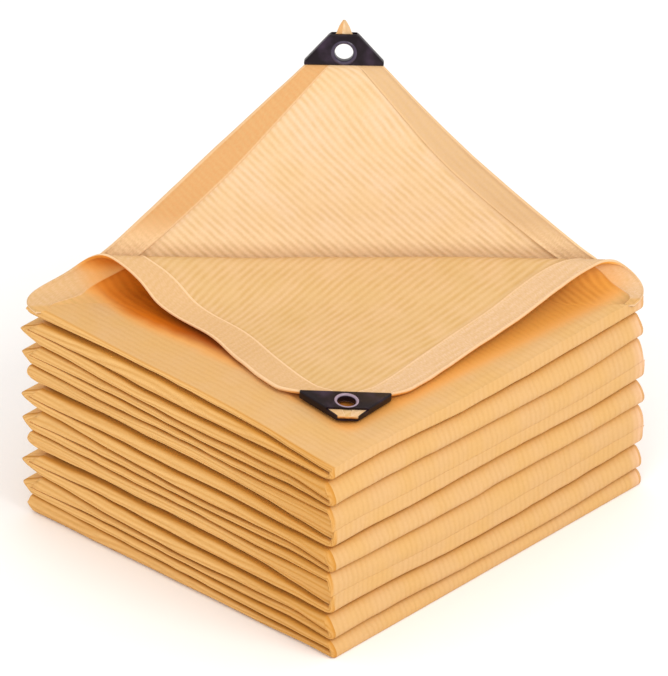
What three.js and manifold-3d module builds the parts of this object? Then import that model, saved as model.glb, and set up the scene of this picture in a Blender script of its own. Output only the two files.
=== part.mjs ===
// A shade net folded into a stack, with two of its corners loose on top, each in a moulded eyelet clip.
// Millimetres, +Z up, the front corner of the stack towards -Y, the origin on the floor under its middle.

import * as THREE from 'three';
import { mergeVertices } from 'three/addons/utils/BufferGeometryUtils.js';
import Module from 'manifold-3d';

const wasm = await Module();
wasm.setup();

// The stack: cloth laid back and forth in runs, from the folds at the back left to those at the front right
const RUN_LENGTH = 366;
const FOLD_WIDTH = 403;
const STACK_TURN = THREE.MathUtils.degToRad(42.7);
const HALF_RUN = RUN_LENGTH / 2;
const HALF_FOLD = FOLD_WIDTH / 2;

// Heights of the stack's upper side, at the back folds, at one and two thirds of a run, at the front folds
const TOP_HEIGHTS = [211, 207, 203, 191];

// The thin spaces between the runs, one set of six repeated down the stack. The first is closed by a fold at
// the front, the next by one at the back, and so on. Each row has the space's heights as above, its width and
// how far in its mouth lies, then how far the fold round its closed end stands out, and how pointed it is
const SPACE_ROWS = [
  { heights: [199, 201, 196.5, 185.5], gap: 2.4, mouth: 15, stand: 0, point: 0.8 },
  { heights: [188, 184, 178.5, 178], gap: 4.0, mouth: 9, stand: 7, point: 1.6 },
  { heights: [175, 167.5, 164, 158], gap: 2.0, mouth: 16, stand: 1, point: 0.7 },
  { heights: [162, 158.3, 155, 151.6], gap: 2.2, mouth: 8, stand: 7, point: 1.6 },
  { heights: [153.5, 147.5, 144, 139.5], gap: 1.8, mouth: 6, stand: 0, point: 0.7 },
  { heights: [143, 139, 136.5, 129], gap: 1.6, mouth: 4, stand: 1, point: 0.7 },
];
const SET_DROP = 67;
const RUN_COUNT = 18;
const UNEVEN = 0.7;

// How far each run's side stands out at the front left, run by run from the top, repeated down the stack
const RUN_OUT = [1, -3, -6, 1, -2, 2];

// How much cloth a fold has outside the closed end of its space, at the front and at the back
const FRONT_WALL = 5;
const BACK_WALL = 14;
const END_ROUND = 6;
const FOLD_STEPS = 4;
const RUN_STEPS = 5;

// Across the folds: how far in from a side the cloth reaches its full thickness, and how thin its edge is
const SIDE_ROUND = 5;
const SIDE_EDGE = 1.5;
const SIDE_PINCH = 0.55;
const WIDTH_STEPS = 8;

// The loose corners: cloth with a hem, from the stack's diagonal to the tip
const CLOTH = 2;
const HEM = 3.2;
const HEM_WIDTH = 25;
const TIP_LENGTH = 274;
const CLIP_START = 231;

const CORNER_ROWS = [
  -12, -4, 5, 13, 21, 29, 37, 45, 53, 61, 72, 86, 104, 124, 146, 168, 190, 207, 222, CLIP_START, 245, 260, 264,
  270, TIP_LENGTH,
];
const INNER_COLUMNS = 6;

// The left and right edges of the loose corners, row by row along the cloth: half its width, how far behind
// the diagonal the edge lies, and how high over the stack
const ROLL_LEFT = [
  { along: -12, half: 262, back: -12, up: -1.4 },
  { along: 0, half: 270, back: 0, up: -0.2 },
  { along: 15, half: 267, back: 15, up: 3.5 },
  { along: 33, half: 243, back: 25, up: 17 },
  { along: 48, half: 224, back: 25, up: 33 },
  { along: 60, half: 208, back: 17, up: 41 },
  { along: 72, half: 193, back: 6, up: 34 },
  { along: 84, half: 181, back: -6, up: 24.5 },
  { along: 104, half: 163, back: -26, up: 11 },
  { along: 146, half: 119, back: -67, up: 3.5 },
  { along: 186, half: 91, back: -113, up: 3.4 },
  { along: 212, half: 66, back: -146, up: 3.6 },
  { along: 224, half: 53, back: -156, up: 5 },
  { along: CLIP_START, half: 35, back: -162, up: 6.4 },
];
const ROLL_RIGHT = [
  { along: -12, half: 262, back: -12, up: -1.4 },
  { along: 0, half: 270, back: 0, up: -0.2 },
  { along: 15, half: 268, back: 13, up: 3.5 },
  { along: 27, half: 257, back: 20, up: 13 },
  { along: 38, half: 243, back: 21, up: 23 },
  { along: 52, half: 226, back: 14, up: 28 },
  { along: 66, half: 209, back: 2, up: 25.5 },
  { along: 90, half: 185, back: -22, up: 22 },
  { along: 121, half: 155.5, back: -52, up: 14 },
  { along: 172, half: 105, back: -102, up: 8 },
  { along: 212, half: 65, back: -142, up: 5 },
  { along: 224, half: 52, back: -154, up: 5.6 },
  { along: CLIP_START, half: 35, back: -162, up: 6.4 },
];
const ROLL_TIP_SLOPE = [-1, 0.005];
const RAISED_LEFT = [
  { along: -12, half: 262, back: -10, up: -1.6 },
  { along: 0, half: 270, back: 2, up: -0.4 },
  { along: 20, half: 260, back: 20, up: 4.5 },
  { along: 38, half: 236, back: 30, up: 18 },
  { along: 60, half: 210, back: 31.5, up: 40 },
  { along: 145, half: 123, back: 42.8, up: 120 },
  { along: CLIP_START, half: 35, back: 54, up: 203 },
];
const RAISED_RIGHT = [
  { along: -12, half: 262, back: -10, up: -1.6 },
  { along: 0, half: 270, back: 2, up: -0.4 },
  { along: 20, half: 260, back: 19, up: 3 },
  { along: 38, half: 238, back: 30, up: 11 },
  { along: 60, half: 210, back: 32, up: 29 },
  { along: 145, half: 123, back: 42.8, up: 114 },
  { along: CLIP_START, half: 35, back: 54, up: 203 },
];
const RAISED_TIP_SLOPE = [0.131, 0.991];

// Half width of the cloth inside a clip and in front of it
const TIP_OUTLINE = [
  { along: CLIP_START, half: 35 },
  { along: 260, half: 10 },
  { along: 264, half: 7.4 },
  { along: 270, half: 6.2 },
  { along: TIP_LENGTH, half: 3 },
];
const DIAGONAL_TURN = Math.atan2(FOLD_WIDTH, RUN_LENGTH) - STACK_TURN;
const TIP_TURN = THREE.MathUtils.degToRad(-2);
const CORNER_SHIFT = 8.5;

// The clips: two faces joined along their slanted sides and by the collar of the eyelet
const CLIP = { length: 29, baseHalf: 38, endHalf: 13.2, side: 3, thickness: 7.6, round: 0.6 };
const CLIP_SLOT = { thickness: 3.8, baseHalf: 36, endHalf: 11.1 };
const HOLE_FROM_BASE = 14;
const EYELET = { hole: 8, collar: 10.4, rim: 13.2, rimRise: 0.9 };
const CLOTH_HOLE = 11;
const ROUND_STEPS = 28;

const NET_MATERIAL = new THREE.MeshStandardMaterial({ color: 0xefbd7c, roughness: 0.85, metalness: 0 });
const CLIP_MATERIAL = new THREE.MeshStandardMaterial({ color: 0x2a2029, roughness: 0.35, metalness: 0 });

// A closed three.js geometry as a solid that can be cut and joined
function toSolid(geometry) {
  const bare = geometry.clone();
  bare.deleteAttribute('normal');
  bare.deleteAttribute('uv');
  const merged = mergeVertices(bare, 1e-4);
  return new wasm.Manifold(new wasm.Mesh({
    numProp: 3,
    vertProperties: new Float32Array(merged.attributes.position.array),
    triVerts: new Uint32Array(merged.index.array),
  }));
}

// A solid back as a geometry
function toGeometry(solid) {
  const mesh = solid.getMesh();
  const geometry = new THREE.BufferGeometry();
  geometry.setAttribute('position', new THREE.BufferAttribute(new Float32Array(mesh.vertProperties), 3));
  geometry.setIndex(new THREE.BufferAttribute(new Uint32Array(mesh.triVerts), 1));
  geometry.computeVertexNormals();
  return geometry;
}

// Moves every point of a geometry by a function
function warp(geometry, move) {
  const points = geometry.attributes.position;
  const point = new THREE.Vector3();
  for (let i = 0; i < points.count; i++) {
    point.fromBufferAttribute(points, i);
    move(point);
    points.setXYZ(i, point.x, point.y, point.z);
  }
  return geometry;
}

// Straight-line value of a named column at a distance along a table
function lookUp(table, along, column) {
  const next = table.findIndex((row) => row.along >= along);
  if (next <= 0) {
    return table[next === 0 ? 0 : table.length - 1][column];
  }
  const before = table[next - 1];
  const after = table[next];
  const share = (along - before.along) / (after.along - before.along);
  return before[column] + share * (after[column] - before[column]);
}

// The spaces between the runs, from the top of the stack down
function spacesBetweenRuns() {
  const spaces = [];
  for (let i = 0; i < RUN_COUNT - 1; i++) {
    const row = SPACE_ROWS[i % SPACE_ROWS.length];
    const drop = SET_DROP * Math.floor(i / SPACE_ROWS.length);
    const heights = row.heights.map((height, station) => (
      new THREE.Vector2(station, height - drop + UNEVEN * Math.sin(2.4 * i + 1.9 * station))
    ));
    spaces.push({ ...row, curve: new THREE.SplineCurve(heights) });
  }
  return spaces;
}

const SPACES = spacesBetweenRuns();
const TOP_CURVE = new THREE.SplineCurve(TOP_HEIGHTS.map((height, i) => new THREE.Vector2(i, height)));

// Height of a curve at a place along the runs
function heightAt(curve, u) {
  return curve.getPoint(THREE.MathUtils.clamp((u + HALF_RUN) / RUN_LENGTH, 0, 1)).y;
}

// Upper and lower side of a run at a place along it
function runTop(run, u) {
  return run === 0 ? heightAt(TOP_CURVE, u) : heightAt(SPACES[run - 1].curve, u) - SPACES[run - 1].gap / 2;
}

function runBottom(run, u) {
  return run === RUN_COUNT - 1 ? 0 : heightAt(SPACES[run].curve, u) + SPACES[run].gap / 2;
}

// How far a run's side stands out at the front left
function runOut(run) {
  return RUN_OUT[run % RUN_OUT.length];
}

// How far in a space's mouth lies at one end of the stack. The floor and the upper side have none
function mouthOf(index) {
  return index < 0 || index >= SPACES.length ? SIDE_EDGE : SPACES[index].mouth;
}

// The fold between a run and the next: its outer and its inner face, from the upper run round to the lower
function foldPairs(run, end) {
  const space = SPACES[run];
  const high = runTop(run, end * HALF_RUN);
  const low = runBottom(run + 1, end * HALF_RUN);
  const closed = end * (HALF_RUN - (end > 0 ? FRONT_WALL : BACK_WALL));
  const middle = heightAt(space.curve, closed);
  const pairs = [];
  for (let i = 0; i <= FOLD_STEPS; i++) {
    const angle = Math.PI * (0.5 - i / FOLD_STEPS);
    const mouth = mouthOf(i < FOLD_STEPS / 2 ? run - 1 : run + 1);
    const back = (mouth + space.stand) * (1 - Math.abs(Math.cos(angle)) ** space.point);
    const outer = new THREE.Vector2(
      end * (HALF_RUN + space.stand - back),
      (high + low) / 2 + (high - low) / 2 * Math.sin(angle),
    );
    const inner = new THREE.Vector2(
      closed - end * space.gap / 2 * (1 - Math.cos(angle)),
      middle + space.gap / 2 * Math.sin(angle),
    );
    pairs.push({ outer, inner, out: THREE.MathUtils.lerp(runOut(run), runOut(run + 1), i / FOLD_STEPS) });
  }
  return pairs;
}

// A free end of the cloth, from its full thickness to its round edge
function endPairs(run) {
  return [0, 0.65, 1].map((share) => {
    const u = -HALF_RUN + END_ROUND * (1 - share);
    const top = runTop(run, u);
    const bottom = runBottom(run, u);
    const thin = (top - bottom) * 0.28 * share ** 3;
    return { upper: new THREE.Vector2(u, top - thin), lower: new THREE.Vector2(u, bottom + thin), out: runOut(run) };
  });
}

// The cloth in the side view, as pairs of points on its two faces, from its end on top to its end on the floor
function stackPairs() {
  const pairs = endPairs(0).reverse().map(({ upper, lower, out }) => ({ a: upper, b: lower, out }));
  for (let run = 0; run < RUN_COUNT; run++) {
    const end = run % 2 === 0 ? 1 : -1;
    for (let i = 1; i < RUN_STEPS; i++) {
      const u = end * RUN_LENGTH * (i / RUN_STEPS - 0.5);
      const upper = new THREE.Vector2(u, runTop(run, u));
      const lower = new THREE.Vector2(u, runBottom(run, u));
      pairs.push(end > 0 ? { a: upper, b: lower, out: runOut(run) } : { a: lower, b: upper, out: runOut(run) });
    }
    if (run < RUN_COUNT - 1) {
      const fold = foldPairs(run, end);
      pairs.push(...fold.map(({ outer, inner, out }) => (
        end > 0 ? { a: outer, b: inner, out } : { a: inner, b: outer, out }
      )));
    }
  }
  pairs.push(...endPairs(RUN_COUNT - 1).map(({ upper, lower, out }) => ({ a: lower, b: upper, out })));
  return pairs;
}

// From the stack's own axes, u along the runs and v along the folds, to the part's
function turnIntoPlace(point, u, v, height) {
  const cos = Math.cos(STACK_TURN);
  const sin = Math.sin(STACK_TURN);
  return point.set(u * cos + v * sin, -u * sin + v * cos, height);
}

// A place across the folds: step 0 is the front left side. The edge is round, so the cloth's two faces end
// a little further in than its middle, and closer together
function widthStation(step, onFace) {
  if (step === 0 || step === WIDTH_STEPS) {
    const v = HALF_FOLD - (onFace ? SIDE_EDGE : 0);
    return { v: step === 0 ? -v : v, pinch: SIDE_PINCH };
  }
  const share = (step - 1) / (WIDTH_STEPS - 2);
  return { v: (HALF_FOLD - SIDE_ROUND) * (2 * share - 1), pinch: 1 };
}

// The stack: one length of cloth, box-like at first, laid back and forth through the pairs of its side view
function foldedStack() {
  const pairs = stackPairs();
  const geometry = new THREE.BoxGeometry(1, 1, 1, pairs.length - 1, 2, WIDTH_STEPS);
  return warp(geometry, (point) => {
    const pair = pairs[Math.round((point.x + 0.5) * (pairs.length - 1))];
    const { v, pinch } = widthStation(Math.round((0.5 - point.z) * WIDTH_STEPS), point.y !== 0);
    const place = new THREE.Vector2().lerpVectors(pair.b, pair.a, 0.5 + point.y * pinch);
    const off = THREE.MathUtils.smoothstep(place.y, 0, 20);
    const toSide = v / HALF_FOLD;
    const out = pair.out * off * toSide * toSide * (toSide < 0 ? -1 : 0.7);
    const ripple = 1.2 * off * Math.sin(v / 52 + place.y / 23) * Math.max(0, place.x / HALF_RUN);
    const swell = 0.9 * off * Math.sin(v / 75) * Math.cos(place.x / 80);
    turnIntoPlace(point, place.x + ripple, v + out, place.y + swell);
  });
}

// Height of the stack's upper side below a point
function stackTopAt(x, y) {
  return heightAt(TOP_CURVE, x * Math.cos(STACK_TURN) - y * Math.sin(STACK_TURN));
}

// An edge of a loose corner as a smooth function of the way along the cloth, straight on inside its clip
function edgeCurve(table, tipSlope) {
  const rows = table.flatMap((row) => [row.half, row.back, row.up]);
  const curve = new THREE.CubicInterpolant(table.map((row) => row.along), rows, 3);
  const last = table[table.length - 1];
  return (along) => {
    if (along >= CLIP_START) {
      const past = along - CLIP_START;
      const half = lookUp(TIP_OUTLINE, along, 'half');
      return new THREE.Vector3(half, last.back + tipSlope[0] * past, last.up + tipSlope[1] * past);
    }
    return new THREE.Vector3().fromArray(curve.evaluate(Math.max(along, CORNER_ROWS[0])));
  };
}

// A loose corner's place in the part, from across the cloth (-1 at its left edge, 1 at its right edge) and
// along it. It starts on the stack's diagonal and turns a little on its way. A settled corner follows the
// upper side of the stack up to its tip
function cornerSurface(left, right, settled) {
  const middle = heightAt(TOP_CURVE, 0);
  return (across, along) => {
    const edges = [left(along), right(along)];
    const view = edges[0].clone().lerp(edges[1], THREE.MathUtils.clamp((across + 1) / 2, 0, 1) ** 0.6);
    const side = across * edges[across < 0 ? 0 : 1].x;
    const turn = THREE.MathUtils.lerp(DIAGONAL_TURN, TIP_TURN, THREE.MathUtils.smoothstep(along, 20, CLIP_START));
    const intoClip = along > CLIP_START ? view.y - left(CLIP_START).y : 0;
    const shift = CORNER_SHIFT * THREE.MathUtils.smoothstep(along, 0, 50) - intoClip * Math.tan(turn);
    const x = shift + side * Math.cos(turn);
    const y = view.y + side * Math.sin(turn);
    const free = settled ? 0 : THREE.MathUtils.smoothstep(along, 30, 200);
    return new THREE.Vector3(x, y, THREE.MathUtils.lerp(stackTopAt(x, y), middle, free) + view.z);
  };
}

// Directions of a loose corner at a point: across, along and out of the cloth
function cornerAxes(surface, across, along) {
  const side = surface(Math.min(across + 0.02, 1), along).sub(surface(Math.max(across - 0.02, -1), along));
  const forward = surface(across, along + 0.5).sub(surface(across, along - 0.5)).normalize();
  const out = new THREE.Vector3().crossVectors(side, forward).normalize();
  return { forward, out };
}

// A loose corner's columns at one row, from edge to edge: the hem, its seam and the cloth between
function columnsAt(surface, along) {
  const width = surface(1, along).distanceTo(surface(-1, along)) / 2;
  const hem = HEM_WIDTH * Math.SQRT2 / width;
  const allHem = hem > 0.7;
  const seam = allHem ? 0.3 : 1 - hem;
  const inner = allHem ? 0.25 : seam - 1.2 / width;
  const columns = [{ across: -1, thick: HEM }, { across: -seam, thick: HEM }];
  for (let i = 0; i <= INNER_COLUMNS; i++) {
    columns.push({ across: inner * (2 * i / INNER_COLUMNS - 1), thick: allHem ? HEM : CLOTH });
  }
  columns.push({ across: seam, thick: HEM }, { across: 1, thick: HEM });
  return columns;
}

// A loose corner as a closed sheet with its hems and the clearance hole of its eyelet
function looseCorner(surface) {
  const columnCount = INNER_COLUMNS + 4;
  const rowCount = CORNER_ROWS.length - 1;
  const geometry = new THREE.BoxGeometry(1, 1, 1, columnCount, rowCount, 1);
  warp(geometry, (point) => {
    const along = CORNER_ROWS[Math.round((point.y + 0.5) * rowCount)];
    const column = columnsAt(surface, along)[Math.round((point.x + 0.5) * columnCount)];
    const { out } = cornerAxes(surface, column.across, along);
    const offset = point.z * column.thick;
    point.copy(surface(column.across, along)).addScaledVector(out, offset);
  });
  const punch = new THREE.CylinderGeometry(CLOTH_HOLE, CLOTH_HOLE, 12, ROUND_STEPS);
  punch.rotateX(Math.PI / 2);
  punch.applyMatrix4(clipMatrix(surface));
  return toSolid(geometry).subtract(toSolid(punch));
}

// Where a clip sits on its corner: the eyelet's middle, and its axes across, towards the tip and outwards
function clipMatrix(surface) {
  const along = CLIP_START + HOLE_FROM_BASE;
  const { forward, out } = cornerAxes(surface, 0, along);
  const square = new THREE.Vector3().crossVectors(forward, out);
  return new THREE.Matrix4().makeBasis(square, forward, out).setPosition(surface(0, along));
}

// The outline of a clip, or of the space inside it, about the eyelet's middle
function clipOutline(baseHalf, endHalf, side, past) {
  const base = -HOLE_FROM_BASE;
  const end = CLIP.length - HOLE_FROM_BASE;
  const outline = new THREE.Shape();
  outline.moveTo(-baseHalf, base - past);
  outline.lineTo(baseHalf, base - past);
  outline.lineTo(baseHalf, base + side);
  outline.lineTo(endHalf + 1.5, end - 1.5);
  outline.lineTo(endHalf - 0.5, end + past);
  outline.lineTo(-endHalf + 0.5, end + past);
  outline.lineTo(-endHalf - 1.5, end - 1.5);
  outline.lineTo(-baseHalf, base + side);
  outline.closePath();
  return outline;
}

// An eyelet's collar with a raised rim on each face
function eyeletCollar() {
  const face = CLIP.thickness / 2;
  const inside = face - 1.4;
  const profile = [
    [EYELET.hole, -face - EYELET.rimRise],
    [EYELET.rim - 1.2, -face - EYELET.rimRise],
    [EYELET.rim, -face + 0.2],
    [EYELET.rim, -inside],
    [EYELET.collar, -inside],
    [EYELET.collar, inside],
    [EYELET.rim, inside],
    [EYELET.rim, face - 0.2],
    [EYELET.rim - 1.2, face + EYELET.rimRise],
    [EYELET.hole, face + EYELET.rimRise],
    [EYELET.hole, -face - EYELET.rimRise],
  ];
  const points = profile.map(([radius, height]) => new THREE.Vector2(radius, height));
  return new THREE.LatheGeometry(points, ROUND_STEPS).rotateX(Math.PI / 2);
}

// A moulded corner clip about the middle of its eyelet, +Y towards the tip
function cornerClip() {
  const body = new THREE.ExtrudeGeometry(clipOutline(CLIP.baseHalf, CLIP.endHalf, CLIP.side, 0), {
    depth: CLIP.thickness - 2 * CLIP.round,
    bevelEnabled: true,
    bevelThickness: CLIP.round,
    bevelSize: CLIP.round,
    bevelOffset: -CLIP.round,
    bevelSegments: 1,
  });
  body.translate(0, 0, -CLIP.thickness / 2 + CLIP.round);
  const space = new THREE.ExtrudeGeometry(clipOutline(CLIP_SLOT.baseHalf, CLIP_SLOT.endHalf, 0, 4), {
    depth: CLIP_SLOT.thickness,
    bevelEnabled: false,
  });
  space.translate(0, 0, -CLIP_SLOT.thickness / 2);
  const hole = new THREE.CylinderGeometry(EYELET.collar - 1, EYELET.collar - 1, 20, ROUND_STEPS);
  hole.rotateX(Math.PI / 2);
  return toSolid(body).subtract(toSolid(space)).subtract(toSolid(hole)).add(toSolid(eyeletCollar()));
}

// A named sub-part from its solid
function subPart(name, solid, material) {
  const mesh = new THREE.Mesh(toGeometry(solid), material);
  mesh.name = name;
  return mesh;
}

// A clip on its corner
function placedClip(name, surface) {
  const mesh = subPart(name, cornerClip(), CLIP_MATERIAL);
  mesh.applyMatrix4(clipMatrix(surface));
  return mesh;
}

const rolled = cornerSurface(edgeCurve(ROLL_LEFT, ROLL_TIP_SLOPE), edgeCurve(ROLL_RIGHT, ROLL_TIP_SLOPE), true);
const raised = cornerSurface(
  edgeCurve(RAISED_LEFT, RAISED_TIP_SLOPE),
  edgeCurve(RAISED_RIGHT, RAISED_TIP_SLOPE),
  false,
);

const net = toSolid(foldedStack()).add(looseCorner(rolled)).add(looseCorner(raised));

const group = new THREE.Group();
group.add(subPart('net', net, NET_MATERIAL));
group.add(placedClip('corner_clip_front', rolled));
group.add(placedClip('corner_clip_top', raised));

export default group;
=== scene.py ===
"""A knitted shade net, folded into a stack, with two loose corners in moulded eyelet clips.

The net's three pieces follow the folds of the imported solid: the stack as one length of cloth laid back and
forth, a corner that is rolled forward over it, and a corner that stands up behind. Both clips are rebuilt
with their rims, slots and soft edges.
"""

import logging
import math
from dataclasses import dataclass, field
from enum import Enum
from typing import Callable, NamedTuple, Sequence

import bmesh
import bpy
from mathutils import Matrix, Vector, noise


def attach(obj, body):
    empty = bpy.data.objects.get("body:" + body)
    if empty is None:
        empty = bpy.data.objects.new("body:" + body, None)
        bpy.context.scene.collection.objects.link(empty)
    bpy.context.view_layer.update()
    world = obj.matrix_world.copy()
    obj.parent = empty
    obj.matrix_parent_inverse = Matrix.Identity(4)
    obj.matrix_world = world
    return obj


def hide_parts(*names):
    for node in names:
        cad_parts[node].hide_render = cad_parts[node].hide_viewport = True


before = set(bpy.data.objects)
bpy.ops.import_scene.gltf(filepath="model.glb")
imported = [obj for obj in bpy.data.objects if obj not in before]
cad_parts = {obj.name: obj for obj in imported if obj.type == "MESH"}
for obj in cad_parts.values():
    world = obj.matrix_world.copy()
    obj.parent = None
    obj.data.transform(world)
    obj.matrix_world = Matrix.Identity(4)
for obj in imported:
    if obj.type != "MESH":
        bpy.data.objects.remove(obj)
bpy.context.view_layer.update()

LOG = logging.getLogger("shade_net")
MM = 0.001
MERGE_DISTANCE = 1e-7

Colour = tuple[float, float, float]
Point = tuple[float, float]
Range = tuple[float, float]
Two = tuple[float, float]
Three = tuple[float, float, float]
Four = tuple[float, float, float, float]


class Side(Enum):
    """Which way a run of the stack leads, and at which end its fold lies."""

    FRONT = 1
    BACK = -1


class Slot(Enum):
    """The record's material slots."""

    NET = "net"
    CLIP = "clip"


# Small maths.


def smoothstep(value: float, low: float, high: float) -> float:
    """Eased share of the way from low to high."""
    share = min(max((value - low) / (high - low), 0.0), 1.0)
    return share * share * (3.0 - 2.0 * share)


def mix(start: float, end: float, share: float) -> float:
    """Value at a share of the way from start to end."""
    return start + (end - start) * share


def wander(x: float, y: float, z: float) -> float:
    """Smooth unevenness between about -1 and 1, the same in each run of the script."""
    return noise.noise(Vector((x, y, z)), noise_basis="PERLIN_ORIGINAL")


def spline(values: Sequence[float], share: float) -> float:
    """Smooth value through evenly spaced ones.

    Args:
        values: the values, from share 0 to share 1.
        share: where to read them.

    Returns:
        The value on a curve through all of them.
    """
    last = len(values) - 1
    place = min(max(share, 0.0), 1.0) * last
    index = int(place)
    t = place - index
    before, here = values[max(index - 1, 0)], values[index]
    after, beyond = values[min(index + 1, last)], values[min(index + 2, last)]
    out = (after - before) * 0.5
    into = (beyond - here) * 0.5
    return (
        (2 * here - 2 * after + out + into) * t**3
        + (-3 * here + 3 * after - 2 * out - into) * t**2
        + out * t
        + here
    )


class Band(NamedTuple):
    """A soft band beside an edge: how far from the edge it starts, and how far from it the band is full."""

    start: float
    full: float

    def at(self, distance: float) -> float:
        """Its eased share, 0 to 1, at a distance from the edge."""
        return smoothstep(distance, self.start, self.full)


@dataclass(frozen=True)
class Wave:
    """Smooth unevenness: its strength, its lengths along and across, and where in the noise it lies."""

    strength: float
    along: float
    across: float
    seed: float = 0.0
    kind_step: float = 0.0
    index_step: float = 0.0

    def at(self, along: float, across: float, kind: int = 0, index: int = 0) -> float:
        """Its value at a point, for a space of a kind and an index where those change it."""
        depth = self.kind_step * kind + self.index_step * index + self.seed
        return self.strength * wander(along / self.along, across / self.across, depth)


@dataclass(frozen=True)
class SmoothTable:
    """Rows of numbers against a growing first column, read as smooth curves."""

    rows: Sequence[Sequence[float]]

    def at(self, along: float) -> list[float]:
        """The other columns at a value of the first.

        Args:
            along: value of the first column, held inside the table.

        Returns:
            One number for each further column.
        """
        rows = self.rows
        along = min(max(along, rows[0][0]), rows[-1][0])
        after = next(i for i in range(1, len(rows)) if along <= rows[i][0])
        start, end = rows[after - 1], rows[after]
        previous = rows[after - 2] if after > 1 else end
        following = rows[after + 1] if after + 1 < len(rows) else start
        gap = end[0] - start[0]
        gap_before = start[0] - previous[0] if after > 1 else gap
        gap_after = following[0] - end[0] if after + 1 < len(rows) else gap
        before = gap * 0.5 / gap_before
        behind = gap * 0.5 / gap_after
        p = (along - start[0]) / gap
        of_previous = -before * p**3 + 2 * before * p**2 - before * p
        of_start = (1 + before) * p**3 + (-1.5 - 2 * before) * p**2 + (before - 0.5) * p + 1
        of_end = (-1 - behind) * p**3 + (1.5 + behind) * p**2 + 0.5 * p
        of_following = behind * p**3 - behind * p**2
        return [
            of_previous * previous[k] + of_start * start[k] + of_end * end[k] + of_following * following[k]
            for k in range(1, len(start))
        ]


# Meshes.


class Spot(NamedTuple):
    """One point of a cloth's closed sheet, with its masks from 0 to 1."""

    place: Vector
    weave: Point
    hem: float = 0.0
    welt: float = 0.0
    right: float = 0.0
    # inside, gap, painted_shade and pale carry painted light and shade: a tint by side, shade in crevices,
    # shade under the rolled corner, and highlights.
    inside: float = 0.0
    gap: float = 0.0
    painted_shade: float = 0.0
    pale: float = 0.0


MASKS = Spot._fields[2:]


def closed_strip(name: str, around: int, along: int, spot: Callable[[int, int], Spot]) -> bpy.types.Object:
    """A closed sheet from a grid whose columns run round the cloth and whose rows run along it.

    Args:
        name: the piece's name.
        around: columns of the grid. Its first and last ones join.
        along: rows of the grid.
        spot: the point at a column and a row, in metres.

    Returns:
        The new object, with its weave as UVs and its masks as attributes.
    """
    bm = bmesh.new()
    bmesh.ops.create_grid(bm, x_segments=around, y_segments=along, size=1.0)
    layers = {label: bm.verts.layers.float.new(label) for label in MASKS}
    weave = bm.loops.layers.uv.new("weave")
    coordinates = {}
    for vert in bm.verts:
        column = round((vert.co.x + 1.0) / 2.0 * around)
        row = round((vert.co.y + 1.0) / 2.0 * along)
        made = spot(column, row)
        vert.co = made.place
        for label, layer in layers.items():
            vert[layer] = getattr(made, label)
        coordinates[vert] = made.weave
    for face in bm.faces:
        for loop in face.loops:
            loop[weave].uv = coordinates[loop.vert]
    bmesh.ops.remove_doubles(bm, verts=bm.verts, dist=MERGE_DISTANCE)
    open_edges = [edge for edge in bm.edges if edge.is_boundary]
    bmesh.ops.holes_fill(bm, edges=open_edges, sides=0)
    bmesh.ops.recalc_face_normals(bm, faces=bm.faces)
    for face in bm.faces:
        face.smooth = True
    return object_from(name, bm)


def object_from(name: str, bm: bmesh.types.BMesh) -> bpy.types.Object:
    """Puts a finished bmesh into the scene as an object at the origin.

    Args:
        name: the object's name.
        bm: the bmesh. It is freed.

    Returns:
        The new object.
    """
    mesh = bpy.data.meshes.new(name)
    bm.to_mesh(mesh)
    bm.free()
    piece = bpy.data.objects.new(name, mesh)
    bpy.context.scene.collection.objects.link(piece)
    return piece


def cylinder(radius: float, depth: float, steps: int) -> bmesh.types.BMesh:
    """A closed round bar about the middle of an eyelet, to cut a hole with.

    Args:
        radius: its radius.
        depth: its length, half of it to each side.
        steps: how many sides make it round.

    Returns:
        The bar.
    """
    bm = bmesh.new()
    bmesh.ops.create_cone(bm, cap_ends=True, segments=steps, radius1=radius, radius2=radius, depth=depth)
    return bm


def finish_modifiers(piece: bpy.types.Object) -> None:
    """Applies a piece's modifiers, so that its mesh is final.

    Args:
        piece: the piece.
    """
    graph = bpy.context.evaluated_depsgraph_get()
    mesh = bpy.data.meshes.new_from_object(
        piece.evaluated_get(graph), preserve_all_data_layers=True, depsgraph=graph
    )
    piece.modifiers.clear()
    piece.data = mesh
    mesh.name = piece.name


def cut_out(piece: bpy.types.Object, tool: bmesh.types.BMesh) -> None:
    """Takes a closed shape out of a piece, and drops the shape.

    Args:
        piece: the piece that is cut.
        tool: the closed shape.
    """
    cutter = object_from(f"{piece.name}_cutter", tool)
    modifier = piece.modifiers.new("cut", "BOOLEAN")
    modifier.operation = "DIFFERENCE"
    modifier.solver = "EXACT"
    modifier.object = cutter
    finish_modifiers(piece)
    bpy.data.objects.remove(cutter)


def settle(piece: bpy.types.Object, material: bpy.types.Material, node: str) -> None:
    """Dresses a finished piece and ties it to the frame.

    Args:
        piece: the piece.
        material: its finish.
        node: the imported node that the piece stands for.
    """
    piece.data.materials.clear()
    piece.data.materials.append(material)
    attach(piece, "root")
    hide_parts(node)
    LOG.info("%s: %d faces", piece.name, len(piece.data.polygons))


# The stack.


class Space(NamedTuple):
    """The thin space between two runs of the stack, in millimetres.

    Attributes:
        heights: height of its middle at four even places, from the left corner to the front one.
        gaps: how high it is at those places.
        creases: how far it rises along the front left side, from the left corner to the front one.
        mouth: how far in its mouths lie at the folds.
        stand: how far the fold round it stands out.
        point: how its fold narrows, over 1 for a pointed fold.
        rounding: how round the edges of the runs beside it are, at the four places.
    """

    heights: Four
    gaps: Four
    creases: tuple[float, ...]
    mouth: float
    stand: float
    point: float
    rounding: Four


class Lift(NamedTuple):
    """Which spaces a face of the cloth moves with, and how much with the second one."""

    first: int
    second: int
    share: float


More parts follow.
